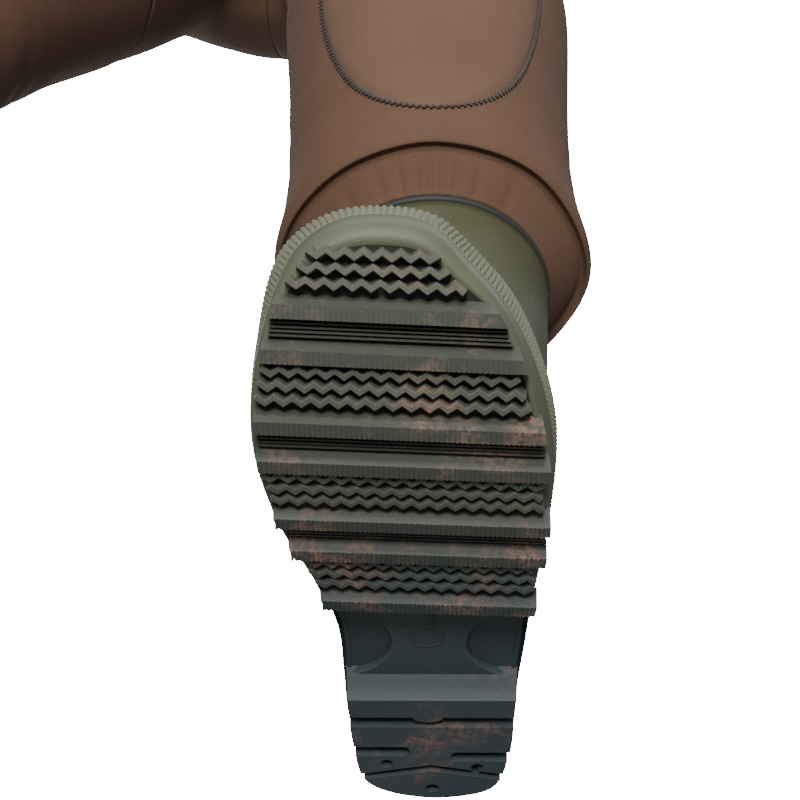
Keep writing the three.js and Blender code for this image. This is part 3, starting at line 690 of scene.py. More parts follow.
def filled_top(ring, z):
    """A ring shrunk in steps towards its middle line, so that the curl has points to move."""
    centre = [(mix(*span(clamped(y, -233, 80), 0), 0.5), clamped(y, -214, 66)) for _, y in ring]
    return [[(mix(x, cx, share), mix(y, cy, share), z) for (x, y), (cx, cy) in zip(ring, centre)]
            for share in (0, 0.25, 0.5, 0.75, 0.97)]


def drawn_in(points, inset):
    """The border slopes in below the rand at the toe, where it is widest, and along the outer side."""
    shifted = []
    for x, y, z in points:
        low = 1 - smoothstep(9, 22, z)
        toe = smoothstep(-185, -236, y) * (4.5 + 1.4 * inset)
        outer = smoothstep(10, 40, x) * smoothstep(0, -60, y)
        shifted.append((x - 2.5 * low * outer, y + low * toe, z))
    return shifted


UNDER_INSET = 4.2
# inset and height, from the floor between the cleats round the edge to the top
bevel = [(4, RECESS - 0.2), (3.2, 7.4), (1.8, 8.2), (0.7, 9.6), (0.1, 11.6), (0, 14.5), (0, PLATE_TOP - 1),
         (0.8, PLATE_TOP)]
lower = [drawn_in(row, UNDER_INSET) for row in filled_top(edge_ring(UNDER_INSET, 2), RECESS)[::-1]]
side_rows = [drawn_in([(x, y, z) for x, y in edge_ring(inset, 2)], inset) for inset, z in bevel]
points, faces = capped_shape(lower + side_rows + filled_top(edge_ring(2, 2), PLATE_TOP))
points = [(x, y, z + (ARCH - RECESS) * smoothstep(WAIST_FRONT - 4, WAIST_FRONT + 2, y) * (z < 13))
          for x, y, z in points]
plate = new_mesh("sole_plate", curled(points), faces, border_rubber, LEFT_BOOT)
# The floor between the cleats takes the dark recess finish, painted shade in the recesses
plate.data.materials.append(shaded_recess_rubber)
for face in plate.data.polygons[:len(lower) * len(lower[0])]:
    if max(points[i][1] for i in face.vertices) < WAIST_FRONT:
        face.material_index = 1

# %% [markdown]
# The zigzag cleats all follow one rule: a ridge with sloping sides that swings from side to side as
# it crosses the sole. A small node tree draws one row from its length, pitch and swing, and each row
# is then a plain mesh that is moved to its place and curled.

# %% Node tree: one zigzag cleat row
def row_tree():
    tree, size = geometry_tree("zigzag_row", {
        "Length": 80.0, "Pitch": 7.05, "Swing": 2.6, "Crest": 2.5, "Foot": 4.0, "Depth": 6.5})
    half_pitch = math_node(tree, "MULTIPLY", size["Pitch"], 0.5)
    count = math_node(tree, "FLOOR", math_node(tree, "DIVIDE", size["Length"], half_pitch))
    step = add(tree, "ShaderNodeCombineXYZ", {"X": half_pitch}).outputs[0]
    line = add(tree, "GeometryNodeMeshLine", {"Count": math_node(tree, "ADD", count, 1.0), "Offset": step})
    index = add(tree, "GeometryNodeInputIndex").outputs[0]
    side = math_node(tree, "SUBTRACT", math_node(tree, "MODULO", index, 2.0), 0.5)
    sideways = math_node(tree, "MULTIPLY", side, size["Swing"])
    swing = add(tree, "ShaderNodeCombineXYZ", {"Y": sideways}).outputs[0]
    bent = add(tree, "GeometryNodeSetPosition", {"Geometry": line.outputs[0], "Offset": swing})
    path = add(tree, "GeometryNodeMeshToCurve", {0: bent.outputs[0]})
    upright_path = add(tree, "GeometryNodeSetCurveNormal", {0: path.outputs[0]}, mode="Z_UP")
    section = add(tree, "GeometryNodeCurvePrimitiveQuadrilateral",
                  {"Bottom Width": size["Foot"], "Top Width": size["Crest"], "Height": size["Depth"],
                   "Offset": 0.0}, mode="TRAPEZOID")
    swept = add(tree, "GeometryNodeCurveToMesh",
                {"Curve": upright_path.outputs[0], "Profile Curve": section.outputs[0], "Fill Caps": True})
    return end_tree(tree, swept.outputs[0], size["Material"])


def grown(tree, name, source=None, **inputs):
    """A mesh object that a node tree makes from a mesh, or from nothing."""
    mesh = source or bpy.data.meshes.new(name)
    host = bpy.data.objects.new(name, mesh)
    bpy.context.scene.collection.objects.link(host)
    modifier = host.modifiers.new("grow", "NODES")
    modifier.node_group = tree
    for item in tree.interface.items_tree:
        if item.in_out == "INPUT" and item.name in inputs:
            modifier[item.identifier] = inputs[item.name]
    return made_plain(host)


def shape_of(host):
    """The points and faces of a grown mesh, and the host is then thrown away."""
    points = [tuple(v.co) for v in host.data.vertices]
    faces = [tuple(p.vertices) for p in host.data.polygons]
    bpy.data.objects.remove(host)
    return points, faces


zigzag = row_tree()
GROUPS = (-214, -166, -118, -70)
ROW_GAP, WAVE, CLEAT_HEIGHT = 6.1, 7.05, 5.4
CLEAT_INSET, TOE_CLEAT_INSET = 3.2, 4.5
shapes = []
for centre in GROUPS:
    inset = TOE_CLEAT_INSET if centre == GROUPS[0] else CLEAT_INSET
    for row in (-1, 0, 1):
        y = centre + row * ROW_GAP
        lows, highs = zip(span(y - 3, inset), span(y + 3, inset))
        low, high = max(lows), min(highs)
        ridge, faces = shape_of(grown(zigzag, "row", Length=float(high - low), Pitch=WAVE, Swing=2.7,
                                      Crest=2.7, Foot=4.6, Depth=6.4, Material=tread_rubber))
        length = max(p[0] for p in ridge) - min(p[0] for p in ridge)
        start = (low + high - length) / 2
        moved = [(p[0] + start, slanted(p[0] + start, y + p[1]), p[2] + CLEAT_HEIGHT) for p in ridge]
        shapes.append((moved, faces))
points, faces = merged(shapes)
cleats = new_mesh("cleats", curled(points), faces, tread_rubber, LEFT_BOOT, smooth=False)
print("zigzag rows", len(shapes), "with", len(faces), "faces")

# %% [markdown]
# Between the cleats run ribbed bars: a sloping smooth face towards the toe, and a ground face with
# fine ribs that scrape mud away. The ribs on one bar are copies of one small block along a line, so
# a second node tree sets them out from a bar's length and the ribs' pitch.

# %% Node tree: ribs along a bar
def rib_tree():
    tree, size = geometry_tree("bar_ribs", {"Length": 80.0, "Pitch": 2.0, "Rib": (1.1, 5.6, 0.9)})
    count = math_node(tree, "FLOOR", math_node(tree, "DIVIDE", size["Length"], size["Pitch"]))
    step = add(tree, "ShaderNodeCombineXYZ", {"X": size["Pitch"]}).outputs[0]
    line = add(tree, "GeometryNodeMeshLine", {"Count": count, "Offset": step})
    rib = add(tree, "GeometryNodeMeshCube", {"Size": size["Rib"]})
    ribs = add(tree, "GeometryNodeInstanceOnPoints", {"Points": line.outputs[0], "Instance": rib.outputs[0]})
    return end_tree(tree, ribs.outputs[0], size["Material"])


# %% Ribbed bars and thin ribs
# A bar's slope towards the toe, its ground face, that face's height and how far its ends stay inside
BAR_SLOPE, BAR_LAND, BAR_GROUND, BAR_INSET = 3.4, 5.6, 0.3, 2.2
RIB_PITCH = 2.0
THIN_RIBS, THIN_PITCH, THIN_GROUND, THIN_INSET = 4, 1.75, 4.6, 3.5
rib_rule = rib_tree()


def bar(y):
    """A bar whose toe side starts at y: its body, and the ribs on its ground face."""
    back = y + BAR_SLOPE + BAR_LAND
    stations = [(y, RECESS + 0.6), (y + BAR_SLOPE, BAR_GROUND), (back, BAR_GROUND), (back + 1, RECESS + 0.6)]
    ends = [span(v, BAR_INSET) for v, _ in stations]
    low_end = [(lo, slanted(lo, v), z) for (v, z), (lo, _) in zip(stations, ends)]
    high_end = [(hi, slanted(hi, v), z) for (v, z), (_, hi) in zip(stations, ends)]
    low, high = ends[1][0] + 1.2, ends[1][1] - 1.2
    ribs, faces = shape_of(grown(rib_rule, "ribs", Length=float(high - low), Pitch=RIB_PITCH,
                                 Material=tread_rubber))
    middle = y + BAR_SLOPE + BAR_LAND / 2
    ribs = [(p[0] + low, slanted(p[0] + low, middle + p[1]), p[2] + BAR_GROUND) for p in ribs]
    return [capped_shape([high_end, low_end]), (ribs, faces)]


def thin_rib(y):
    stations = [(y, RECESS + 0.3), (y + 0.25, THIN_GROUND), (y + 0.95, THIN_GROUND), (y + 1.3, RECESS + 0.3)]
    lo, hi = span(y, THIN_INSET)
    return capped_shape([[(x, slanted(x, v), z) for v, z in stations] for x in (hi, lo)])


shapes = []
for centre in GROUPS:
    shapes += bar(centre + 11)
    if centre != GROUPS[-1]:
        shapes += bar(centre + 29)
        shapes += [thin_rib(centre + 21.8 + THIN_PITCH * k) for k in range(THIN_RIBS)]
points, faces = merged(shapes)
bars = new_mesh("bars", curled(points), faces, bar_rubber, LEFT_BOOT, smooth=False)
print("bars and ribs", len(shapes), "with", len(faces), "faces")

# %% [markdown]
# The waist is a smooth arch with a raised bridge down its middle. The bridge pinches in where the two
# lobes are scooped out, and carries a plain oval where a boot's size is usually moulded.

# %% Waist bridge and its oval
def arc(cx, cy, rx, ry, start, end, steps):
    turns = [math.radians(mix(start, end, i / steps)) for i in range(steps + 1)]
    return [(cx + rx * math.cos(t), cy + ry * math.sin(t)) for t in turns]


BRIDGE_GROUND = 12.2
scoop_left = arc(-48, -16, 26, 22, 78, -78, 18)
scoop_right = arc(38, -16, 26, 22, 258, 102, 18)
outline = scoop_right + [(36, 8), (-42.5, 8)] + scoop_left + [(-46, -46), (40, -46)]
points, faces = prism(outline, BRIDGE_GROUND, ARCH + 0.5)
bridge = new_mesh("waist_bridge", points, faces, border_rubber, LEFT_BOOT, smooth=False)


def oval_ring(cx, cy, rx, ry, wire, low, high):
    """A raised line of rectangular section round an oval."""
    outer, inner = (arc(cx, cy, rx - inset, ry - inset, 0, 351, 39) for inset in (0, wire))
    rows = [(outer, low), (outer, high), (inner, high), (inner, low)]
    return ring_shape([[(x, y, z) for x, y in ring] for ring, z in rows])


points, faces = oval_ring(-6, -20, 8, 5.6, 0.9, 11.6, 12.6)
oval = new_mesh("size_oval", points, faces, border_rubber, LEFT_BOOT, smooth=False)

# %% [markdown]
# The heel block is one solid with its grooves cut away: a wide one with a bump, two side slots, a
# chevron and three round wells. Booleans suit it, because the cuts cross the outline at odd angles.

# %% Heel block
HEEL_FRONT = 3.6
HEEL_LEAN = 5.5
HEEL_MIDDLE, HEEL_TAPER = (-4, 40), 0.02
HEEL_GROOVE, WELL_DEPTH = 10.0, 5


def heel_ring(inset, front, z):
    """The outline behind a straight front edge, starting with that edge."""
    ring = [(x, y) for x, y in edge_ring(inset, 2) if y > front + 1.5]
    pivot = max(range(len(ring)), key=lambda i: math.dist(ring[i], ring[i - 1]))
    low, high = span(front, inset)
    return [(low, front, z), (high, front, z)] + [(x, y, z) for x, y in ring[pivot:] + ring[:pivot]]


def heel_shape():
    """A block with a sloping front, a little smaller at the ground."""
    base = heel_ring(1.2, HEEL_FRONT, ARCH + 1)
    front = HEEL_FRONT + HEEL_LEAN
    low, high = span(front, 1.8)
    ground = [(low, front, 0), (high, front, 0)]
    for x, y, _ in base[2:]:
        behind = max(mix(y, HEEL_MIDDLE[1], HEEL_TAPER), front + 0.1 + 0.1 * y)
        ground.append((mix(x, HEEL_MIDDLE[0], HEEL_TAPER), behind, 0))
    return capped_shape([ground, base])


def cutter(name, outline, depth=HEEL_GROOVE):
    """A tool that cuts an outline into the ground face, whichever way round it is given."""
    area = sum(x0 * y1 - x1 * y0 for (x0, y0), (x1, y1) in zip(outline, outline[1:] + outline[:1]))
    points, faces = prism(outline if area > 0 else outline[::-1], -3, depth)
    return new_mesh(name, points, faces, tread_rubber, LEFT_BOOT, smooth=False)


def carve(piece, tools):
    for tool in tools:
        cut = piece.modifiers.new("cut", "BOOLEAN")
        cut.object, cut.operation, cut.solver = tool, "DIFFERENCE", "EXACT"
    made_plain(piece)
    for tool in tools:
        bpy.data.objects.remove(tool)


points, faces = heel_shape()
heel = new_mesh("heel_block", points, faces, tread_rubber, LEFT_BOOT, smooth=False)
bump_arc = arc(-5, 21.5, 7, 3.4, 180, 0, 10)
front_groove = [(-60, 21.5)] + bump_arc + [(60, 21.5), (60, 28.5), (-60, 28.5)]
left_slot = [(-60, 43.6)] + arc(-16.5, 47, 3.4, 3.4, -90, 90, 8) + [(-60, 50.4)]
right_slot = [(60, 54.4)] + arc(9.5, 51, 3.4, 3.4, 90, 270, 8) + [(60, 47.6)]
chevron = [(-60, 67), (-36, 64.5), (-3, 57.5), (31, 64.5), (60, 67)]
chevron += [(60, 71.5), (31, 69), (-3, 62.2), (-36, 69), (-60, 71.5)]
cutters = [("groove", front_groove), ("slot_a", left_slot), ("slot_b", right_slot), ("chevron", chevron)]
wells = [("well_a", -24, 56.5, 3), ("well_b", 19, 59.5, 3), ("well_c", -2, 76, 3.4)]
carve(heel, [cutter(name, outline) for name, outline in cutters]
      + [cutter(name, arc(x, y, wide, 3, 0, 340, 17), WELL_DEPTH) for name, x, y, wide in wells])
print("heel faces", len(heel.data.polygons))

# %% Sole pieces on each side
SHARP = 35


def soften(piece, width):
    """Bevels the sharp edges by a width in millimetres."""
    edge = piece.modifiers.new("soften", "BEVEL")
    edge.width, edge.segments, edge.limit_method = width / 1000, 1, "ANGLE"
    edge.angle_limit = math.radians(SHARP)
    edge.harden_normals = False
    made_plain(piece)


for piece, width in ((heel, 0.5), (bridge, 0.8), (cleats, 0.25)):
    soften(piece, width)
sole_left = joined("outsole_moulding_left", [cleats, bars, bridge, oval, heel, plate])
settle(sided(sole_left), "boot_{side}", "outsole_{side}", slot="tread_rubber")
print("sole faces", len(sole_left.data.polygons))

# %% [markdown]
# ## Knurled rand
# A band of small pyramids wraps the boot just above the sole and gives grip on rocks. The band is a
# closed wall, and a node tree pushes out each small face of its outside and shrinks its top.

# %% Node tree: knurl
def knurl_tree():
    tree, size = geometry_tree("knurl", {"Proud": 0.0009, "Tip": 0.3}, takes_mesh=True)
    chosen = add(tree, "GeometryNodeInputNamedAttribute", {"Name": "knurled"}, data_type="BOOLEAN")
    pushed = add(tree, "GeometryNodeExtrudeMesh", {
        "Mesh": size["Geometry"], "Selection": chosen.outputs[0], "Offset Scale": size["Proud"],
        "Individual": True}, mode="FACES")
    tipped = add(tree, "GeometryNodeScaleElements", {
        "Geometry": pushed.outputs["Mesh"], "Selection": pushed.outputs["Top"],
        "Scale": size["Tip"]}, domain="FACE")
    return end_tree(tree, tipped.outputs[0], size["Material"])


# %% Rand
RAND_LOW, RAND_HIGH, RAND_WALL = 26.2, 50, 2
KNURL, KNURL_PROUD = 2.6, 0.0009


def even_ring(ring, step):
    """Points at equal steps round a closed outline."""
    return even_points([Vector(p) for p in ring + ring[:1]], step)[:-1]


base = even_ring(edge_ring(0.6), KNURL)
count = len(base)
normals = []
for i in range(count):
    along = (base[(i + 1) % count] - base[i - 1]).normalized()
    normals.append(Vector((along.y, -along.x)))
levels = round((RAND_HIGH - RAND_LOW) / KNURL)
outer_rows = []
for j in range(levels + 1):
    height = mix(RAND_LOW, RAND_HIGH, j / levels)
    lean = 1.6 * smoothstep(RAND_HIGH - 10, RAND_HIGH, height)
    row = []
    for p, n in zip(base, normals):
        opening = 7 * smoothstep(-160, -225, p.y) + 3 * smoothstep(10, 40, p.x) * smoothstep(0, -60, p.y)
        flare = 0.8 + opening * (j / levels) ** 0.8 - lean
        row.append((p.x + n.x * flare, p.y + n.y * flare, height))
    outer_rows.append(row)
inner_rows = [[(p.x - n.x * RAND_WALL, p.y - n.y * RAND_WALL, height) for p, n in zip(base, normals)]
              for height in (RAND_HIGH - 0.4, RAND_LOW + 0.3)]
points, faces = ring_shape(outer_rows + inner_rows)
rand = new_mesh("knurled_rand", curled(points), faces, rand_rubber, LEFT_BOOT, smooth=False)
marks = rand.data.attributes.new("knurled", "BOOLEAN", "FACE")
marks.data.foreach_set("value", [i < count * levels for i in range(len(faces))])
knurled = grown(knurl_tree(), "rand_left", source=rand.data, Proud=KNURL_PROUD, Tip=0.25,
                Material=rand_rubber)
bpy.data.objects.remove(rand)
knurled.data.attributes.remove(knurled.data.attributes["knurled"])
settle(sided(knurled), "boot_{side}", "rand_{side}", slot="boot_rubber")
print("rand", count, "round by", levels, "high")

# %% [markdown]
# ## Rubber boot
# The boot above the rand is one thin moulding that narrows from the foot to a round top. It is skinned
# over rings that turn smoothly from the sole's outline into the leg's circle, so no seam shows.

# %% Boot shell
RIM_HEIGHT, RIM_RADIUS, BOOT_WALL = 250, 66, 3.5
SHIN_LEAN = math.tan(math.radians(8))
RIM_CENTRE = -RIM_HEIGHT * SHIN_LEAN
# height, front, back, width share, and how round the ring is
BOOT_TABLE = [(26.4, -236.4, 83, 1, 0), (52, -231, 82, 0.98, 0), (66, -212, 80, 0.93, 0.1),
              (80, -180, 76, 0.86, 0.25), (98, -146, 70, 0.82, 0.5), (120, -118, 58, 0.84, 0.75),
              (150, -100, 44, 0.88, 1), (200, -98, 35, 0.94, 1),
              (RIM_HEIGHT, RIM_CENTRE - RIM_RADIUS, RIM_CENTRE + RIM_RADIUS, 1, 1)]
boot_base = even_ring(edge_ring(2.9), 4)
# The outline's toe, length, middle and width, which give each of its points a share and an angle
BASE_TOE, BASE_LENGTH, BASE_MIDDLE, BASE_WIDTH = -236.5, 319.5, -8, 110


def boot_ring(height, inset):
    """The boot's wall at a height: the sole's outline turning into the leg's circle."""
    front, back, wide, turned = (table_value(BOOT_TABLE, height, k) for k in (1, 2, 3, 4))
    middle, half = (front + back) / 2, (back - front) / 2
    ring = []
    for p in boot_base:
        share = (p.y - BASE_TOE) / BASE_LENGTH
        foot = Vector((p.x * wide, mix(front, back, share), height))
        angle = math.atan2(share - 0.5, (p.x - BASE_MIDDLE) / BASE_WIDTH)
        leg = Vector((RIM_RADIUS * wide * math.cos(angle), middle + half * math.sin(angle), height))
        outer = foot.lerp(leg, clamped(turned))
        ring.append(outer + (Vector((0, middle, height)) - outer).normalized() * inset)
    return ring


heights = [mix(BOOT_TABLE[0][0], RIM_HEIGHT, (i / 56) ** 1.25) for i in range(57)]
rows = [boot_ring(h, 0) for h in heights]
rows += [boot_ring(RIM_HEIGHT + 0.3, 1.6)] + [boot_ring(h, BOOT_WALL) for h in heights[::-3]]
points, faces = ring_shape(rows)
shells = pair("boot_upper", curled(points, 90), faces, boot_rubber, LEFT_BOOT)
settle(shells, "boot_{side}", "boot_shell_{side}", slot="boot_rubber")
print("boot upper", len(faces), "faces")

# %% [markdown]
# A dark tape closes the joint between rubber and neoprene, and a felt insole lies on the sole.

# %% Rim tape and insole
# radius and height round the tape's section
TAPE = [(66.4, 250.6), (67.3, 251.2), (67.6, 252.6), (67.2, 254), (66.2, 254.4), (63.4, 254.4), (63, 250.6)]
points, faces = ring_shape([[(radius * math.cos(t), RIM_CENTRE + radius * math.sin(t), height)
                             for t in full_turn(96)] for radius, height in TAPE])
tapes = pair("rim_tape", points, faces, seam_rubber, LEFT_BOOT)
settle(tapes, "boot_{side}", "boot_collar_{side}", slot="boot_rubber")

FELT_LOW, FELT_HIGH = 26.4, 30
rows = filled_top(edge_ring(9, 3), FELT_LOW)[::-1] + filled_top(edge_ring(9.4, 3), FELT_HIGH)
points, faces = capped_shape(rows)
felts = pair("insole_felt", curled(points), faces, insole_felt, LEFT_BOOT)
settle(felts, "boot_{side}", "insole_{side}", slot="insole_felt")

# %% [markdown]
# ## Neoprene legs
# Neoprene is a foam sheet of about 5 mm with fabric on both faces. Over the boot the leg is longer
# than it needs to be, so it rolls out and hangs over the rim as a soft lip with fine radial wrinkles.
# One rule gives the leg's radius at any height and angle, and every leg piece is drawn from it.

# %% The leg's surface
KNEE = -350
THIGH_LEAN = math.tan(math.radians(7))
LEG_RADII = [(-900, 87), (-505, 87), (-435, 90), (KNEE, 96), (-265, 101), (-200, 109), (-120, 118), (0, 124)]
# height above the tread, and radius, from the rim outwards and up
LIP = [(254.8, 66.4), (258, 69), (262.5, 73), (267.5, 77.5), (272, 81), (274.6, 83.2), (273.6, 85.2),
       (271.8, 86.4), (271.4, 87.6), (273, 88.8), (277, 89.6), (284, 89.6), (293, 89), (304, 88.2),
       (318, 87.5), (332, 87), (340, 86.82), (344.6, 86.64), (345.2, 86.5), (350, 85.6)]
FRONT = -math.pi / 2


def leg_centre(z):
    """How far behind the hip the leg's middle line runs."""
    return z * THIGH_LEAN if z > KNEE else KNEE * THIGH_LEAN - (z - KNEE) * SHIN_LEAN


def bell(x, width):
    return math.exp(-(x / width) ** 2)


def around(angle, other):
    """The signed difference of two angles."""
    return (angle - other + math.pi) % (2 * math.pi) - math.pi


# Pleats under the roll: place round the leg from the front, width and depth
PLEATS = ((-0.42, 0.03, 0.9), (-0.26, 0.025, 1.3), (-0.13, 0.02, 1.5), (-0.03, 0.02, 1.7), (0.06, 0.018, 1.5),
          (0.17, 0.024, 1.2), (0.33, 0.03, 1.0), (0.6, 0.04, 0.8), (-0.7, 0.05, 0.8))
# Creases behind the knee: height from the knee, and depth
CREASES = ((-52, 1.5), (-24, 2.8), (2, 3.4), (27, 2.6), (54, 1.4))
SLEEVE_TOP = 345


def lip_drape(angle, height):
    """How far the sleeve over the boot stands out from its plain profile."""
    roll = bell(height - 276, 13)
    sides = bell(around(angle, 0.05), 0.42) * 3.2 + bell(around(angle, math.pi), 0.6) * 2.6
    soft = noise.noise((math.cos(angle) * 1.7, math.sin(angle) * 1.7, height / 60)) * 2.4
    pleats = sum(bell(around(angle, FRONT + a), w) * d * 1.5 for a, w, d in PLEATS)
    under = smoothstep(255, 258, height) * (1 - smoothstep(262, 273, height))
    return roll * (sides + soft) - under * pleats


def leg_drape(angle, z):
    """Soft waves on the leg, with cross creases behind the knee."""
    wave = noise.noise((math.cos(angle) * 1.2, math.sin(angle) * 1.2, z / 90)) * 1.5
    fine = noise.noise((math.cos(angle) * 3, math.sin(angle) * 3, z / 28)) * 0.35
    behind = bell(around(angle, math.pi / 2), 0.9)
    creases = sum(bell(z - KNEE - k + 7 * math.cos(angle * 2 + k), 6) * d for k, d in CREASES)
    return wave + fine - behind * creases


def leg_point(angle, z, out=0):
    """A point on the outside of the leg, a distance out from the fabric."""
    radius = table_value(LEG_RADII, z) + out
    height = z + LEG_LENGTH
    if height < SLEEVE_TOP:
        radius = table_value(LIP[9:], height) + out + lip_drape(angle, height)
    radius += leg_drape(angle, z) * smoothstep(-504, -460, z)
    return (radius * math.cos(angle), leg_centre(z) + radius * math.sin(angle), z)


def flex(pieces, upper, lower, start, end, *nodes):
    """Bakes each side's piece into the world and hides the nodes it stands for; the two bodies and the two
    heights are not used.
    """
    for side, piece in pieces.items():
        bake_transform(piece)
        if nodes:
            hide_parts(*[node.format(side=side) for node in nodes])


# %% The rolled sleeve over the boot
turns = full_turn(288)
ANKLE_BEND = (-540, -592)


def finer(table, steps):
    """A profile with more points, on a smooth curve through its own."""
    knots = [(i, *row) for i, row in enumerate(table)]
    count = (len(table) - 1) * steps
    return [tuple(table_value(knots, i / steps, k) for k in (1, 2)) for i in range(count + 1)]


def lip_row(height, radius):
    z = height - LEG_LENGTH
    out = [radius + lip_drape(t, height) for t in turns]
    return [(r * math.cos(t), leg_centre(z) + r * math.sin(t), z) for r, t in zip(out, turns)]


rows = [lip_row(h, r) for h, r in finer(LIP, 3)]
inner = [(h + 3.2, r - 4.6) for h, r in LIP if h < 269]
inner += [(281, 83), (290, 86), (306, 85.8), (330, 83), (350, 82)]
rows += [lip_row(h, r) for h, r in finer(inner, 2)[::-1]]
points, faces = ring_shape(rows)
lips = pair("boot_sleeve", points, faces, neoprene, LEFT_LEG)
flex(lips, "shin_{side}", "boot_{side}", *ANKLE_BEND, "gaiter_{side}")
print("boot sleeve", len(faces), "faces")

# %% The leg from thigh to shin
def leg_row(z, out):
    return [leg_point(t, z, out) for t in turns[::2]]


TOP, BOTTOM = -200.5, -506
KNEE_BEND = (-268, -432)
levels = [BOTTOM, BOTTOM + 0.3] + [mix(BOTTOM, TOP, i / 84) for i in range(1, 85)]
rows = [leg_row(z, mix(-0.3, 0.3, smoothstep(BOTTOM, -480, z))) for z in levels]
rows += [leg_row(z, mix(-0.34, -4.6, smoothstep(-502, -490, z))) for z in levels[::-2]]
points, faces = ring_shape(rows)
legs = pair("leg", points, faces, neoprene, LEFT_LEG)
flex(legs, "thigh_{side}", "shin_{side}", *KNEE_BEND, "thigh_{side}", "knee_{side}", "shin_{side}")
print("leg", len(faces), "faces")

# %% [markdown]
# ## Knee patches
# A second layer of neoprene covers the front of the knee and shin. It ends in a round toe above the
# boot, and its edge is overlocked with dark thread. The patch is a pad with a rounded edge.

# %% Slabs: two grids joined round their edges
def slab(outer, inner):
    """A closed solid between two grids of the same size."""
    rows, columns = len(outer), len(outer[0])
    shift = rows * columns
    faces = []
    for j in range(rows - 1):
        for i in range(columns - 1):
            a, b = j * columns + i, (j + 1) * columns + i
            faces += [[a, a + 1, b + 1, b], [shift + b, shift + b + 1, shift + a + 1, shift + a]]
    rim = list(range(columns)) + [j * columns + columns - 1 for j in range(1, rows)]
    rim += [(rows - 1) * columns + i for i in range(columns - 2, -1, -1)]
    rim += [j * columns for j in range(rows - 2, 0, -1)]
    for a, b in zip(rim, rim[1:] + rim[:1]):
        faces.append([b, a, shift + a, shift + b])
    return [p for row in outer for p in row] + [p for row in inner for p in row], faces


def turn_outwards(*pieces):
    """Recalculates the normals of closed meshes."""
    for piece in pieces:
        shape = bmesh.new()
        shape.from_mesh(piece.data)
        bmesh.ops.recalc_face_normals(shape, faces=shape.faces)
        shape.to_mesh(piece.data)
        shape.free()


# %% Knee patch
PATCH_TOP, PATCH_BOTTOM = -262, -551
# Half the patch's angle round the leg, and the lengths over which its toe and its head close in
PATCH_HALF, PATCH_TOE, PATCH_HEAD = 0.83, 140, 26


def patch_half(z):
    """Half the patch's angle at a height."""
    toe = clamped((PATCH_BOTTOM + PATCH_TOE - z) / PATCH_TOE)
    head = clamped((z - PATCH_TOP + PATCH_HEAD) / PATCH_HEAD)
    narrow = mix(1, 1.06, smoothstep(-430, -280, z))
    return PATCH_HALF * narrow * math.sqrt(max(0, 1 - toe**1.6)) * math.sqrt(max(0.0, 1 - 0.3 * head**2.5))


def patch_level(share):
    """Levels gathered towards both ends, where the outline turns."""
    return mix(PATCH_BOTTOM + 0.15, PATCH_TOP, 0.5 - 0.5 * math.cos(math.pi * share ** 0.9))


patch_levels = [patch_level(j / 72) for j in range(73)]
cross = [-1 + 2 * i / 40 for i in range(41)]
outer, inner = [], []
for z in patch_levels:
    half = patch_half(z)
    near_end = min(z - PATCH_BOTTOM, PATCH_TOP - z)
    edge = [min(near_end, (1 - abs(c)) * half * 90) for c in cross]
    outer.append([leg_point(FRONT + half * c, z, 0.9 + 2.2 * smoothstep(-1, 9, e) ** 0.6)
                  for c, e in zip(cross, edge)])
    inner.append([leg_point(FRONT + half * c, z, 0.55) for c in cross])
points, faces = slab(outer, inner)
patches = pair("knee_patch", points, faces, patch_neoprene, LEFT_LEG)
turn_outwards(*patches.values())

# %% [markdown]
# Overlocking is a row of short slanted stitches over the edge. A node tree sets one small stitch at
# even steps along an edge, turned to follow both the edge and the fabric's face, which is carried on
# the path as an attribute. The same tree sews the bib, the pocket and the braces.

# %% Node tree: stitches along a path
def stitch_tree():
    tree, size = geometry_tree("stitches", {
        "Step": 0.0028, "Stitch": (0.0026, 0.0007, 0.0006), "Slant": 1.0}, takes_mesh=True)
    path = add(tree, "GeometryNodeMeshToCurve", {0: size["Geometry"]})
    places = add(tree, "GeometryNodeCurveToPoints", {
        "Curve": path.outputs[0], "Length": size["Step"]}, mode="LENGTH")
    face = add(tree, "GeometryNodeInputNamedAttribute", {"Name": "face"}, data_type="FLOAT_VECTOR")
    along = add(tree, "FunctionNodeAlignRotationToVector", {"Vector": places.outputs["Tangent"]}, axis="X")
    lying = add(tree, "FunctionNodeAlignRotationToVector", {
        "Rotation": along.outputs[0], "Vector": face.outputs[0]}, axis="Z", pivot_axis="X")
    slant = add(tree, "FunctionNodeAxisAngleToRotation", {"Axis": (0, 0, 1), "Angle": size["Slant"]})
    turned = add(tree, "FunctionNodeRotateRotation", {
        "Rotation": lying.outputs[0], "Rotate By": slant.outputs[0]}, rotation_space="LOCAL")
    bead = add(tree, "GeometryNodeMeshUVSphere", {"Segments": 6, "Rings": 5, "Radius": 1.0})
    sewn = add(tree, "GeometryNodeInstanceOnPoints", {
        "Points": places.outputs["Points"], "Instance": bead.outputs[0], "Rotation": turned.outputs[0],
        "Scale": size["Stitch"]})
    return end_tree(tree, sewn.outputs[0], size["Material"])


sewing = stitch_tree()


def stitches(name, path, faces_out, step, stitch, slant=0.0, matrix=MILLIMETRES, closed=False):
    """Stitches of a size and slant along a path of points, each with the way the fabric faces there."""
    mesh = bpy.data.meshes.new(name)
    count = len(path)
    edges = [(i, i + 1) for i in range(count - 1)] + ([(count - 1, 0)] if closed else [])
    mesh.from_pydata([matrix @ Vector(p) for p in path], edges, [])
    turn = matrix.to_3x3()
    out = mesh.attributes.new("face", "FLOAT_VECTOR", "POINT")
    out.data.foreach_set("vector", [c for n in faces_out for c in (turn @ Vector(n)).normalized()])
    row = grown(sewing, name, source=mesh, Step=step / 1000, Stitch=[s / 1000 for s in stitch], Slant=slant,
                Material=thread)
    row.data.polygons.foreach_set("use_smooth", [True] * len(row.data.polygons))
    return row


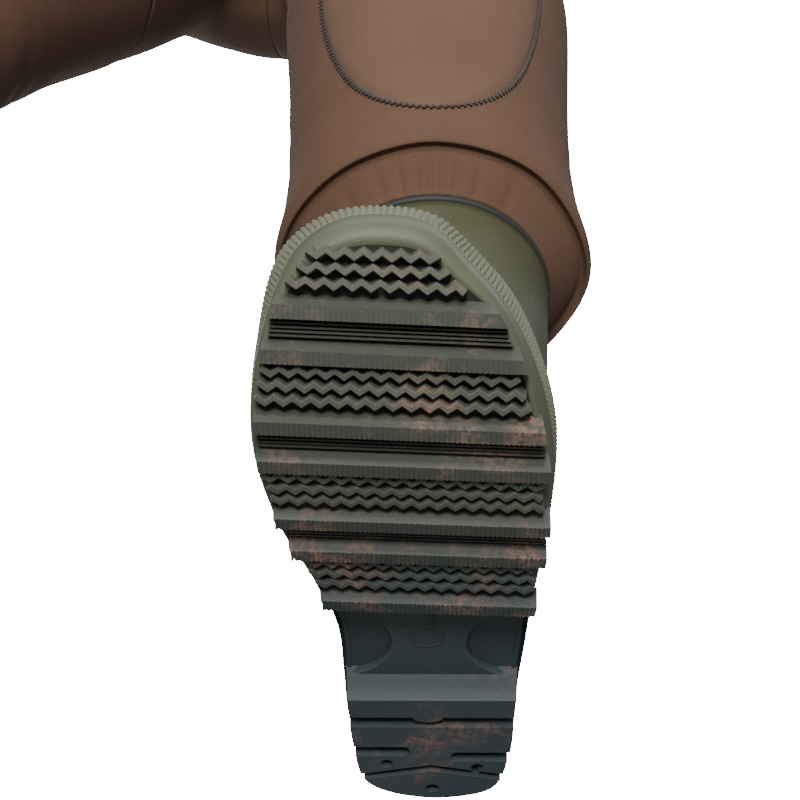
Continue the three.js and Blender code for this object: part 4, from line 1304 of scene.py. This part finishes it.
# %% Overlock round the knee patch
def patch_edge():
    """The patch's outline and the direction the leg faces along it."""
    path = [(FRONT + patch_half(z), z) for z in patch_levels]
    head = patch_half(PATCH_TOP)
    path += [(FRONT + head * (1 - 2 * i / 24), PATCH_TOP) for i in range(1, 24)]
    path += [(FRONT - patch_half(z), z) for z in patch_levels[::-1]]
    return [leg_point(a, z, 1.1) for a, z in path], [(math.cos(a), math.sin(a), 0) for a, z in path]


path, outwards = patch_edge()
overlock = stitches("overlock_left", path, outwards, step=3.9, stitch=(2.9, 1.1, 1.0), slant=0.95,
                    matrix=LEFT_LEG, closed=True)
flex(patches, "thigh_{side}", "shin_{side}", *KNEE_BEND, "knee_pad_{side}")
flex(sided(overlock), "thigh_{side}", "shin_{side}", *KNEE_BEND)
print("overlock", len(overlock.data.polygons), "faces")

# %% [markdown]
# ## Seat and hips
# The seat is where the two legs meet the body, and a tailor would cut it from curved panels. Here
# three closed solids, the pelvis and the two thighs, are fused on a fine grid of voxels and smoothed,
# which rounds the crotch as stretched fabric does. The skin is then cut open and given its thickness.

# %% The torso's surface
# height, half width and half depth
TORSO = [(-740, 150, 70), (-715, 185, 112), (-680, 212, 140), (-640, 224, 152), (-560, 220, 152),
         (-430, 204, 148), (-310, 222, 160), (0, 222, 160)]
BELT_Z = -430


def torso_point(angle, z, out=0):
    """A point on the bib at an angle from the front, in degrees towards the left, and a height."""
    turn = math.radians(angle - 90)
    wide, deep = (table_value(TORSO, z, k) + out for k in (1, 2))
    return Vector((wide * math.cos(turn), deep * math.sin(turn), z))


def torso_normal(angle, z):
    turn = math.radians(angle - 90)
    wide, deep = (table_value(TORSO, z, k) for k in (1, 2))
    return Vector((math.cos(turn) / wide, math.sin(turn) / deep, 0)).normalized()


PELVIS_LEVELS = (-738, -725, -712, -695, -676, -655, -630, -600, -570, -545)
# Radius, middle and height of the rings of a thigh; the last one closes it inside the pelvis
THIGH_RINGS = [(table_value(LEG_RADII, z), leg_centre(z), z) for z in (-230, -200, -160, -120, -80, -45)]
THIGH_RINGS.append((96, 0, -8))


def fused_seat():
    """The outer skin of the seat and thighs as a bmesh, in metres."""
    turns = full_turn(64)
    pelvis = [[torso_point(math.degrees(t) + 90, z) for t in turns] for z in PELVIS_LEVELS]
    thigh = [[(r * math.cos(t), middle + r * math.sin(t), z) for t in turns] for r, middle, z in THIGH_RINGS]
    solids = [new_mesh("pelvis", *capped_shape(pelvis), neoprene)]
    left = new_mesh("thigh_solid", *capped_shape(thigh), neoprene, LEFT_LEG)
    solids += [left, mirrored(left, "thigh_solid_right")]
    host = joined("seat_solid", solids)
    fuse = host.modifiers.new("fuse", "REMESH")
    fuse.mode, fuse.voxel_size = "VOXEL", 0.006
    relax = host.modifiers.new("relax", "SMOOTH")
    relax.factor, relax.iterations = 0.8, 14
    shape = bmesh.new()
    shape.from_mesh(made_plain(host).data)
    bpy.data.objects.remove(host)
    return shape


def sliced(shape, place, normal):
    """Cuts away what lies on the normal's side of a plane."""
    every = shape.verts[:] + shape.edges[:] + shape.faces[:]
    bmesh.ops.bisect_plane(shape, geom=every, plane_co=place, plane_no=normal, clear_outer=True, dist=1e-6)


# %% Left and right hip
SEAT_WALL = 0.0046
HIP_BEND = (-62, -198)
# The cuts through the fused skin: waist and middle in metres, thigh in the leg's millimetres
WAIST_CUT, MIDDLE_CUT, THIGH_CUT = -0.5606, 0.0003, -199
seat = fused_seat()
sliced(seat, (0, 0, WAIST_CUT), (0, 0, 1))
sliced(seat, (MIDDLE_CUT, 0, 0), (-1, 0, 0))
sliced(seat, LEFT_LEG @ Vector((0, 0, THIGH_CUT)), LEFT_LEG.to_3x3() @ Vector((0, 0, -1)))
for vert in seat.verts:
    wave = noise.noise(vert.co * 11) * 0.0022 + noise.noise(vert.co * 34) * 0.0006
    inside = smoothstep(0, 0.025, vert.co.x) * (1 - smoothstep(-0.6, -0.565, vert.co.z))
    vert.co += vert.normal * wave * inside
seat_mesh = bpy.data.meshes.new("hip_left")
seat.to_mesh(seat_mesh)
seat.free()
seat_mesh.materials.clear()
seat_mesh.materials.append(neoprene)
seat_mesh.polygons.foreach_set("use_smooth", [True] * len(seat_mesh.polygons))
hip_left = bpy.data.objects.new("hip_skin_left", seat_mesh)
bpy.context.scene.collection.objects.link(hip_left)
wall = hip_left.modifiers.new("wall", "SOLIDIFY")
wall.thickness, wall.offset, wall.use_even_offset = SEAT_WALL, -1, True
made_plain(hip_left)
flex(sided(hip_left), "torso", "thigh_{side}", *HIP_BEND, "hip_{side}")
print("hip", len(hip_left.data.polygons), "faces")

# %% [markdown]
# ## Bib
# The bib is two panels joined at the sides. Its top edge is high at the chest and the back and dips
# under the arms, and a rounded tape binds it with a row of stitches.

# %% Bib panels
BIB_FRONT, BIB_SIDE, BIB_BACK, BIB_FLAT = -150, -268, -236, 34
BIB_BOTTOM, BIB_WALL = -560, 4.8


def bib_top(angle):
    """The height of the top edge at an angle from the front."""
    turn = abs((angle + 180) % 360 - 180)
    if turn < BIB_FLAT:
        return BIB_FRONT
    if turn < 90:
        return mix(BIB_FRONT, BIB_SIDE, smoothstep(BIB_FLAT, 90, turn))
    return mix(BIB_SIDE, BIB_BACK, smoothstep(90, 150, turn))


def bib_drape(angle, z):
    """Shallow vertical waves that die out where things are sewn on."""
    wave = noise.noise(torso_point(angle, z * 0.35) / 75) * 2.4
    wave += noise.noise(torso_point(angle, z) / 30) * 0.5
    at_belt = 1 - bell(z - BELT_Z, 45)
    at_pocket = smoothstep(30, 48, math.degrees(abs(around(math.radians(angle), 0))))
    return min(0.6, wave) * at_belt * mix(0.25, 1, at_pocket)


def bib_panel(name, start, end):
    """A panel between two angles, wavy except along its edges."""
    outer, inner = [], []
    for j in range(53):
        up = j / 52
        at_hem = smoothstep(0, 0.06, up) * smoothstep(1, 0.93, up)
        out_row, in_row = [], []
        for i in range(97):
            angle = mix(start + 0.1, end - 0.1, i / 96)
            z = mix(BIB_BOTTOM, bib_top(angle), up)
            out = bib_drape(angle, z) * at_hem * (1 - bell((i % 96) / 96, 0.03))
            out_row.append(torso_point(angle, z, out))
            in_row.append(torso_point(angle, z, out - BIB_WALL))
        outer.append(out_row)
        inner.append(in_row)
    piece = new_mesh(name, *slab(outer, inner), neoprene)
    turn_outwards(piece)
    return piece


fasten(bib_panel("bib_front_panel", -90, 90), "torso", "bib_front", slot="neoprene")
fasten(bib_panel("bib_back_panel", 90, 270), "torso", "bib_back", slot="neoprene")

# %% Binding and its stitches
# How far out from the bib and how far above its top edge, round the tape's section
BINDING = [(0.4, -8.5), (1.8, -8.2), (2.2, -7), (2.2, 2), (1.7, 5), (0.4, 7), (-1.6, 7.9), (-3.3, 7.9),
           (-5.3, 7), (-6.5, 5), (-7, 2), (-7, -7), (-6.6, -8.2), (-5.3, -8.5), (-5.3, 0.8), (0.4, 0.8)]
angles = [i * 1.5 for i in range(240)]
rows = [[torso_point(a, bib_top(a), out) + Vector((0, 0, up)) for a in angles] for out, up in BINDING]
points, faces = ring_shape(rows)
binding = new_mesh("bib_edge", points, faces, neoprene)
turn_outwards(binding)
fasten(binding, "torso", "bib_binding", slot="webbing")


def sewn_on_torso(name, spots, **how):
    """Stitches along (angle, height, out) spots on the torso."""
    path = [torso_point(a, z, out) for a, z, out in spots]
    row = stitches(name, path, [torso_normal(a, z) for a, z, _ in spots], **how)
    fasten(row, "torso", slot="webbing")


edge_spots = [(a, bib_top(a) - 5, 2.3) for a in angles]
sewn_on_torso("binding_stitches", edge_spots, closed=True, step=3.2, stitch=(1.3, 0.35, 0.3))
for side, angle in (("left", 90), ("right", 270)):
    spots = [(angle, z, 0.3) for z in range(-558, -268, 4)]
    sewn_on_torso(f"side_seam_{side}", spots, step=3, stitch=(2.6, 0.6, 0.6), slant=1.2)

# %% [markdown]
# ## Belt and braces
# All the straps are webbing of one weave. A strap is a slab swept along a smooth path with a slightly
# rounded section, and its UV map lies along it in metres, so that the weave follows every bend.

# %% Straps
WEB_WIDTH, WEB_THICK = 40, 2.4


def smooth_path(corners, step):
    """An even path on a curve through the corners."""
    knots = [(i, *corner) for i, corner in enumerate(corners)]
    count = (len(corners) - 1) * 24
    fine = [Vector([table_value(knots, i / 24, k) for k in (1, 2, 3)]) for i in range(count + 1)]
    return even_points(fine, step)


# Places across a strap from edge to edge, as shares of its half width, and how full it is there
STRAP_ACROSS = [(-1, 0.62), (-0.985, 0.85), (-0.94, 0.97), (-0.8, 1), (-0.5, 1), (0, 1),
                (0.5, 1), (0.8, 1), (0.94, 0.97), (0.985, 0.85), (1, 0.62)]


def strap(name, path, across, width=WEB_WIDTH, thick=WEB_THICK, matrix=MILLIMETRES):
    """A strap along a path. across(i) is its widthways direction, and it thickens to the outside."""
    outer, inner, flat = [], [], []
    gone = 0
    for i, p in enumerate(path):
        along = (path[min(i + 1, len(path) - 1)] - path[max(i - 1, 0)]).normalized()
        w = Vector(across(i))
        w = (w - along * w.dot(along)).normalized()
        out = w.cross(along)
        gone += (p - path[i - 1]).length if i else 0
        outer.append([p + w * c * width / 2 + out * thick * full for c, full in STRAP_ACROSS])
        inner.append([p + w * c * width / 2 + out * thick * (1 - full) for c, full in STRAP_ACROSS])
        flat += [(c * width / 2000, gone / 1000) for c, _ in STRAP_ACROSS]
    piece = new_mesh(name, *slab(outer, inner), webbing, matrix)
    turn_outwards(piece)
    lie = piece.data.uv_layers.new(name="weave")
    for loop in piece.data.loops:
        lie.data[loop.index].uv = flat[loop.vertex_index % len(flat)]
    return piece


# %% Belt
BELT_OUT = 5.5
BELT_START, BELT_END = 17, 350
TAIL_START, TAIL_END = 6.6, 16.9
LOOP_WIDTH, LOOP_THICK = 14, 1.6
LOOPS = (("front_left", 58), ("back_left", 140), ("back_right", 220), ("front_right", 302))
# height from the belt's middle line, and how far out from the bib, along a loop
LOOP_SPINE = [(-34, 1.2), (-28, 2.4), (-24, 7.2), (-18, 8.6), (0, 9.0), (18, 8.6), (24, 7.2), (28, 2.4),
              (34, 1.2)]


def belt_path(start, end, count):
    return [torso_point(mix(start, end, i / count), BELT_Z, BELT_OUT) for i in range(count + 1)]


belt = strap("belt_webbing", belt_path(BELT_START, BELT_END, 220), lambda i: (0, 0, -1))
fasten(belt, "torso", "belt_band", slot="webbing")
path = belt_path(TAIL_START, TAIL_END, 12)
belt_tail = strap("belt_tail", path, lambda i: (0, 0, -1))
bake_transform(belt_tail)
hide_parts("belt_lead")
for name, angle in LOOPS:
    path = smooth_path([torso_point(angle, BELT_Z + dz, out) for dz, out in LOOP_SPINE], 2.5)
    width = torso_point(angle + 1, BELT_Z) - torso_point(angle - 1, BELT_Z)
    loop = strap(f"loop_{name}", path, lambda i, w=width: w, LOOP_WIDTH, LOOP_THICK)
    fasten(loop, "torso", f"belt_loop_{name}", slot="neoprene")
    for end_name, dz in (("low", -31.5), ("high", 31.5)):
        spots = [(angle + k * 1.6 / 3, BELT_Z + dz, 3.6) for k in range(-3, 4)]
        sewn_on_torso(f"loop_{name}_{end_name}_tack", spots, step=1.4, stitch=(1.1, 0.4, 0.35), slant=1.3)
print("belt webbing", len(belt.data.polygons), "faces")

# %% Braces
BRACE_FOOT = Vector((95, -154, BIB_FRONT + 4))
BRACE_BEND = Vector((83, -46, -26))
FRONT_ACROSS = Vector((0.95, 0.32, 0))
brace_along = (BRACE_BEND - BRACE_FOOT).normalized()
brace_across = (FRONT_ACROSS - brace_along * FRONT_ACROSS.dot(brace_along)).normalized()
sewn_y = torso_point(27, BIB_FRONT - 72).y - 3
# how far forward of the sewn end, and below the bib's top, along the foot of a brace
foot = [(0, 72), (0.3, 40), (0.8, 18), (3.4, 7)]
foot = [(BRACE_FOOT.x, sewn_y - ahead, BIB_FRONT - below) for ahead, below in foot]
tab_path = smooth_path(foot + [(BRACE_FOOT.x, -154.5, BIB_FRONT + 2)], 3)
tab = strap("brace_foot_left", tab_path, lambda i: FRONT_ACROSS)
settle(sided(tab), "torso", "brace_tab_{side}", slot="webbing")
over = [BRACE_BEND, (79, -18, -6), (76, 8, -2.5), (73, 40, -11), (69, 78, -43), (65, 114, -98),
        (62, 146, -160), (60, 161, BIB_BACK + 26), (60, 159.2, BIB_BACK), (60, 157, BIB_BACK - 22),
        (60, 156.8, BIB_BACK - 55)]
over_path = smooth_path(over, 4)


def over_across(i):
    share = i / len(over_path) * 10
    return (1, 0.34 * (1 - share / 4) - (0.15 if share > 4 else 0), 0)


brace = strap("brace_webbing_left", over_path, over_across)
settle(sided(brace), "torso", "brace_{side}", slot="webbing")
LEAD_START = 56.6
length = (BRACE_BEND - BRACE_FOOT).length
lead_path = [BRACE_FOOT + brace_along * mix(LEAD_START, length - 0.5, i / 24) for i in range(25)]
lead = strap("brace_run_left", lead_path, lambda i: brace_across)
for side, piece in sided(lead).items():
    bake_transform(piece)
    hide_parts(f"brace_lead_{side}")
print("brace", len(brace.data.polygons), "faces")


# %% Box stitching on the brace ends
BOX_WIDTH, BOX_HEIGHT = 32, 26


def box_stitch(name, centre, right_way, face):
    """A sewn rectangle with a line across it from corner to corner."""
    half = [Vector(right_way).normalized() * BOX_WIDTH / 2, Vector((0, 0, BOX_HEIGHT / 2))]
    corner = [Vector(centre) + half[0] * a + half[1] * b for a, b in ((-1, -1), (1, -1), (1, 1), (-1, 1))]
    line = corner + [corner[0], corner[2]]
    return stitches(name, line, [Vector(face).normalized()] * 6, step=2.6, stitch=(1.0, 0.35, 0.3))


front_spot = (BRACE_FOOT.x, sewn_y - 2.7, BIB_FRONT - 54)
back_spot = (60, 159.4, BIB_BACK - 38)
boxes = [box_stitch("brace_front_box_left", front_spot, FRONT_ACROSS, (0.2, -1, 0)),
         box_stitch("brace_back_box_left", back_spot, (1, -0.15, 0), (0.1, 1, 0))]
for box in boxes:
    settle(sided(box), "torso", slot="webbing")

# %% [markdown]
# ## Chest pocket
# The pouch is a bellows of neoprene that stands out from the bib, with a rounded lower edge and a
# flap over its mouth. The flap hangs from a sewn strip and hinges there.

# %% Pocket, flap and strip
POCKET_HALF, POCKET_TOP, POCKET_BOTTOM, POCKET_DEPTH = 95, -247, -397, 22
FLAP_TOP, FLAP_DROP = POCKET_TOP + 4, 58
FLAP_HALF, FLAP_CORNER = POCKET_HALF + 2.6, 18
CHEST_WIDE, CHEST_DEEP = 222, 160


def chest_depth(x):
    return CHEST_DEEP * math.sqrt(1 - (x / CHEST_WIDE) ** 2)


def chest(x, z, out):
    """A point in front of the bib's straight part."""
    return Vector((x, -chest_depth(x) - out, z))


def pouch_out(u, v):
    """How far the pouch stands out, across (-1 to 1) and up (0 to 1)."""
    side = (1 - abs(u) ** 7) ** 0.5
    foot = 1 - (1 - min(1, v / 0.16)) ** 2.6
    return 1.4 + (POCKET_DEPTH - 1.6) * side * foot ** 0.6 * mix(1, 0.9, v)


def pouch_grid(shrink):
    grid = []
    for j in range(41):
        v = (j / 40) ** 1.3
        half = POCKET_HALF * (1 - 0.06 * (1 - min(1, v / 0.12)) ** 2)
        us = [math.sin(math.pi / 2 * (-1 + 2 * i / 64)) for i in range(65)]
        grid.append([chest(u * (half - shrink), mix(POCKET_BOTTOM + shrink, POCKET_TOP, v),
                           max(0.9, pouch_out(u, v) - shrink)) for u in us])
    return grid


pouch = new_mesh("pocket_pouch", *slab(pouch_grid(0), pouch_grid(2.6)), neoprene)


def flap_grid(out, low, high):
    """One face of the flap's front, with rounded lower corners."""
    grid = []
    for j in range(21):
        z = mix(low, high, j / 20)
        near = max(0, FLAP_CORNER - (z - low)) / FLAP_CORNER
        reach = FLAP_HALF - FLAP_CORNER * (1 - math.sqrt(max(0, 1 - near**2)))
        shares = [i / 56 for i in range(57)]
        grid.append([chest(mix(-reach, reach, s), z, out + 0.8 * math.cos(math.pi / 2 * (2 * s - 1)))
                     for s in shares])
    return grid


flap_out = POCKET_DEPTH + 0.4
low = FLAP_TOP - FLAP_DROP
front_face = flap_grid(flap_out + 2.8, low, FLAP_TOP - 1.5)
front_back = flap_grid(flap_out + 0.3, low + 0.5, FLAP_TOP - 3)
FLAP_XS = [mix(-FLAP_HALF, FLAP_HALF, i / 56) for i in range(57)]


def hinge_out(x):
    """From the curved bib out to the flap's straight hinge line."""
    return max(1.3, CHEST_DEEP + 2 - chest_depth(x))


lid_top, lid_low = [], []
for j in range(9):
    ahead = j / 8
    lid_top.append([chest(x, FLAP_TOP - 0.2 - 1.2 * ahead**4, mix(hinge_out(x), flap_out + 2.6, ahead))
                    for x in FLAP_XS])
    lid_low.append([chest(x, FLAP_TOP - 2.9, mix(hinge_out(x), flap_out + 0.2, ahead)) for x in FLAP_XS])
lid = slab(lid_top + front_face[::-1], lid_low + front_back[::-1])
flap = new_mesh("pocket_lid", *lid, neoprene)
STRIP_MIDDLE = FLAP_TOP + 4.25
# From the hinge up the strip: share of the way out to the hinge, the front's and the back's heights
# above the flap's top, and their distances out from the bib
STRIP = ((1, -0.3, -2.9, 0, 0), (0.5, -0.3, -2.9, 4, 1.1), (0, 0.6, -2.9, 4, 1.1), (0, 7.4, 7.4, 4, 1),
         (0, 8, 8, 3.2, 1.1))


def strip_row(z, out, reach):
    return [chest(x, FLAP_TOP + z, mix(out, hinge_out(x) - 0.6, reach)) for x in FLAP_XS]


strip_outer = [strip_row(z, out, reach) for reach, z, _, out, _ in STRIP]
strip_inner = [strip_row(z, out, reach) for reach, _, z, _, out in STRIP]
strip = new_mesh("flap_strip", *slab(strip_outer, strip_inner), neoprene)
turn_outwards(pouch, flap, strip)
fasten(pouch, "torso", "chest_pocket", slot="neoprene")
fasten(flap, "pocket_flap", "pocket_flap", slot="neoprene")
fasten(strip, "torso", "flap_base", slot="neoprene")


def chest_stitches(name, spots, body):
    path = [chest(*spot) for spot in spots]
    facing = [(p.x / CHEST_WIDE**2, p.y / CHEST_DEEP**2, 0) for p in path]
    row = stitches(name, path, facing, step=3, stitch=(1.2, 0.35, 0.3))
    fasten(row, body, slot="neoprene")


edge = [(p.x, p.z) for p in (front_face[j][56] for j in range(20, -1, -1))]
rim = [(x - 5, z + (4 if z < low + 2 else 0)) for x, z in edge] + [(x, low + 5) for x in range(70, -71, -10)]
rim += [(-x + 5, z + (4 if z < low + 2 else 0)) for x, z in edge[::-1]]
rim = [(x, z, flap_out + 3.2 + 0.8 * math.cos(math.pi / 2 * x / 98)) for x, z in rim]
chest_stitches("lid_stitches", rim, "pocket_flap")
chest_stitches("strip_stitches", [(x, STRIP_MIDDLE, 4.15) for x in range(-94, 95, 4)], "torso")
print("pocket", len(pouch.data.polygons) + len(flap.data.polygons), "faces")

# %% [markdown]
# ## Buckles, sliders and the tool ring
# The hardware's shapes are right in the fixed model, so those parts stay and get finishes of their
# own. The ring's tab is cloth, so it is drawn again as a strap folded round the ring.

# %% Finishes on the fixed hardware
def finish_nodes(material, *names):
    for name in names:
        bpy.data.objects[name].material_slots[0].material = material


finish_nodes(plastic, "belt_socket", "belt_plug")
for side in SIDES:
    finish_nodes(plastic, f"brace_socket_{side}", f"brace_plug_{side}", f"brace_slider_{side}")
finish_nodes(steel, "tool_ring")

# %% Ring tab
RING_X, RING_Z = 128, -196
TAB_WIDTH, TAB_THICK = 18, 1.4
ring_angle = -math.degrees(math.asin(RING_X / CHEST_WIDE))
ring_turn = Matrix.Rotation(math.radians(ring_angle), 4, "Z")
ring_place = MILLIMETRES @ Matrix.Translation(torso_point(ring_angle, RING_Z)) @ ring_turn
# out from the bib and up, along the fold
FOLD = [(-1.6, 22), (-1.6, 8), (-2.4, 1), (-4.6, -4.6), (-8.6, -4.8), (-10.6, -1), (-9.0, 5), (-6.2, 12),
        (-5.6, 22)]
fold_path = smooth_path([(0, y, z) for y, z in FOLD], 1.5)
ring_tab = strap("ring_loop", fold_path, lambda i: (1, 0, 0), TAB_WIDTH, TAB_THICK, ring_place)
fasten(ring_tab, "torso", "ring_tab", slot="webbing")
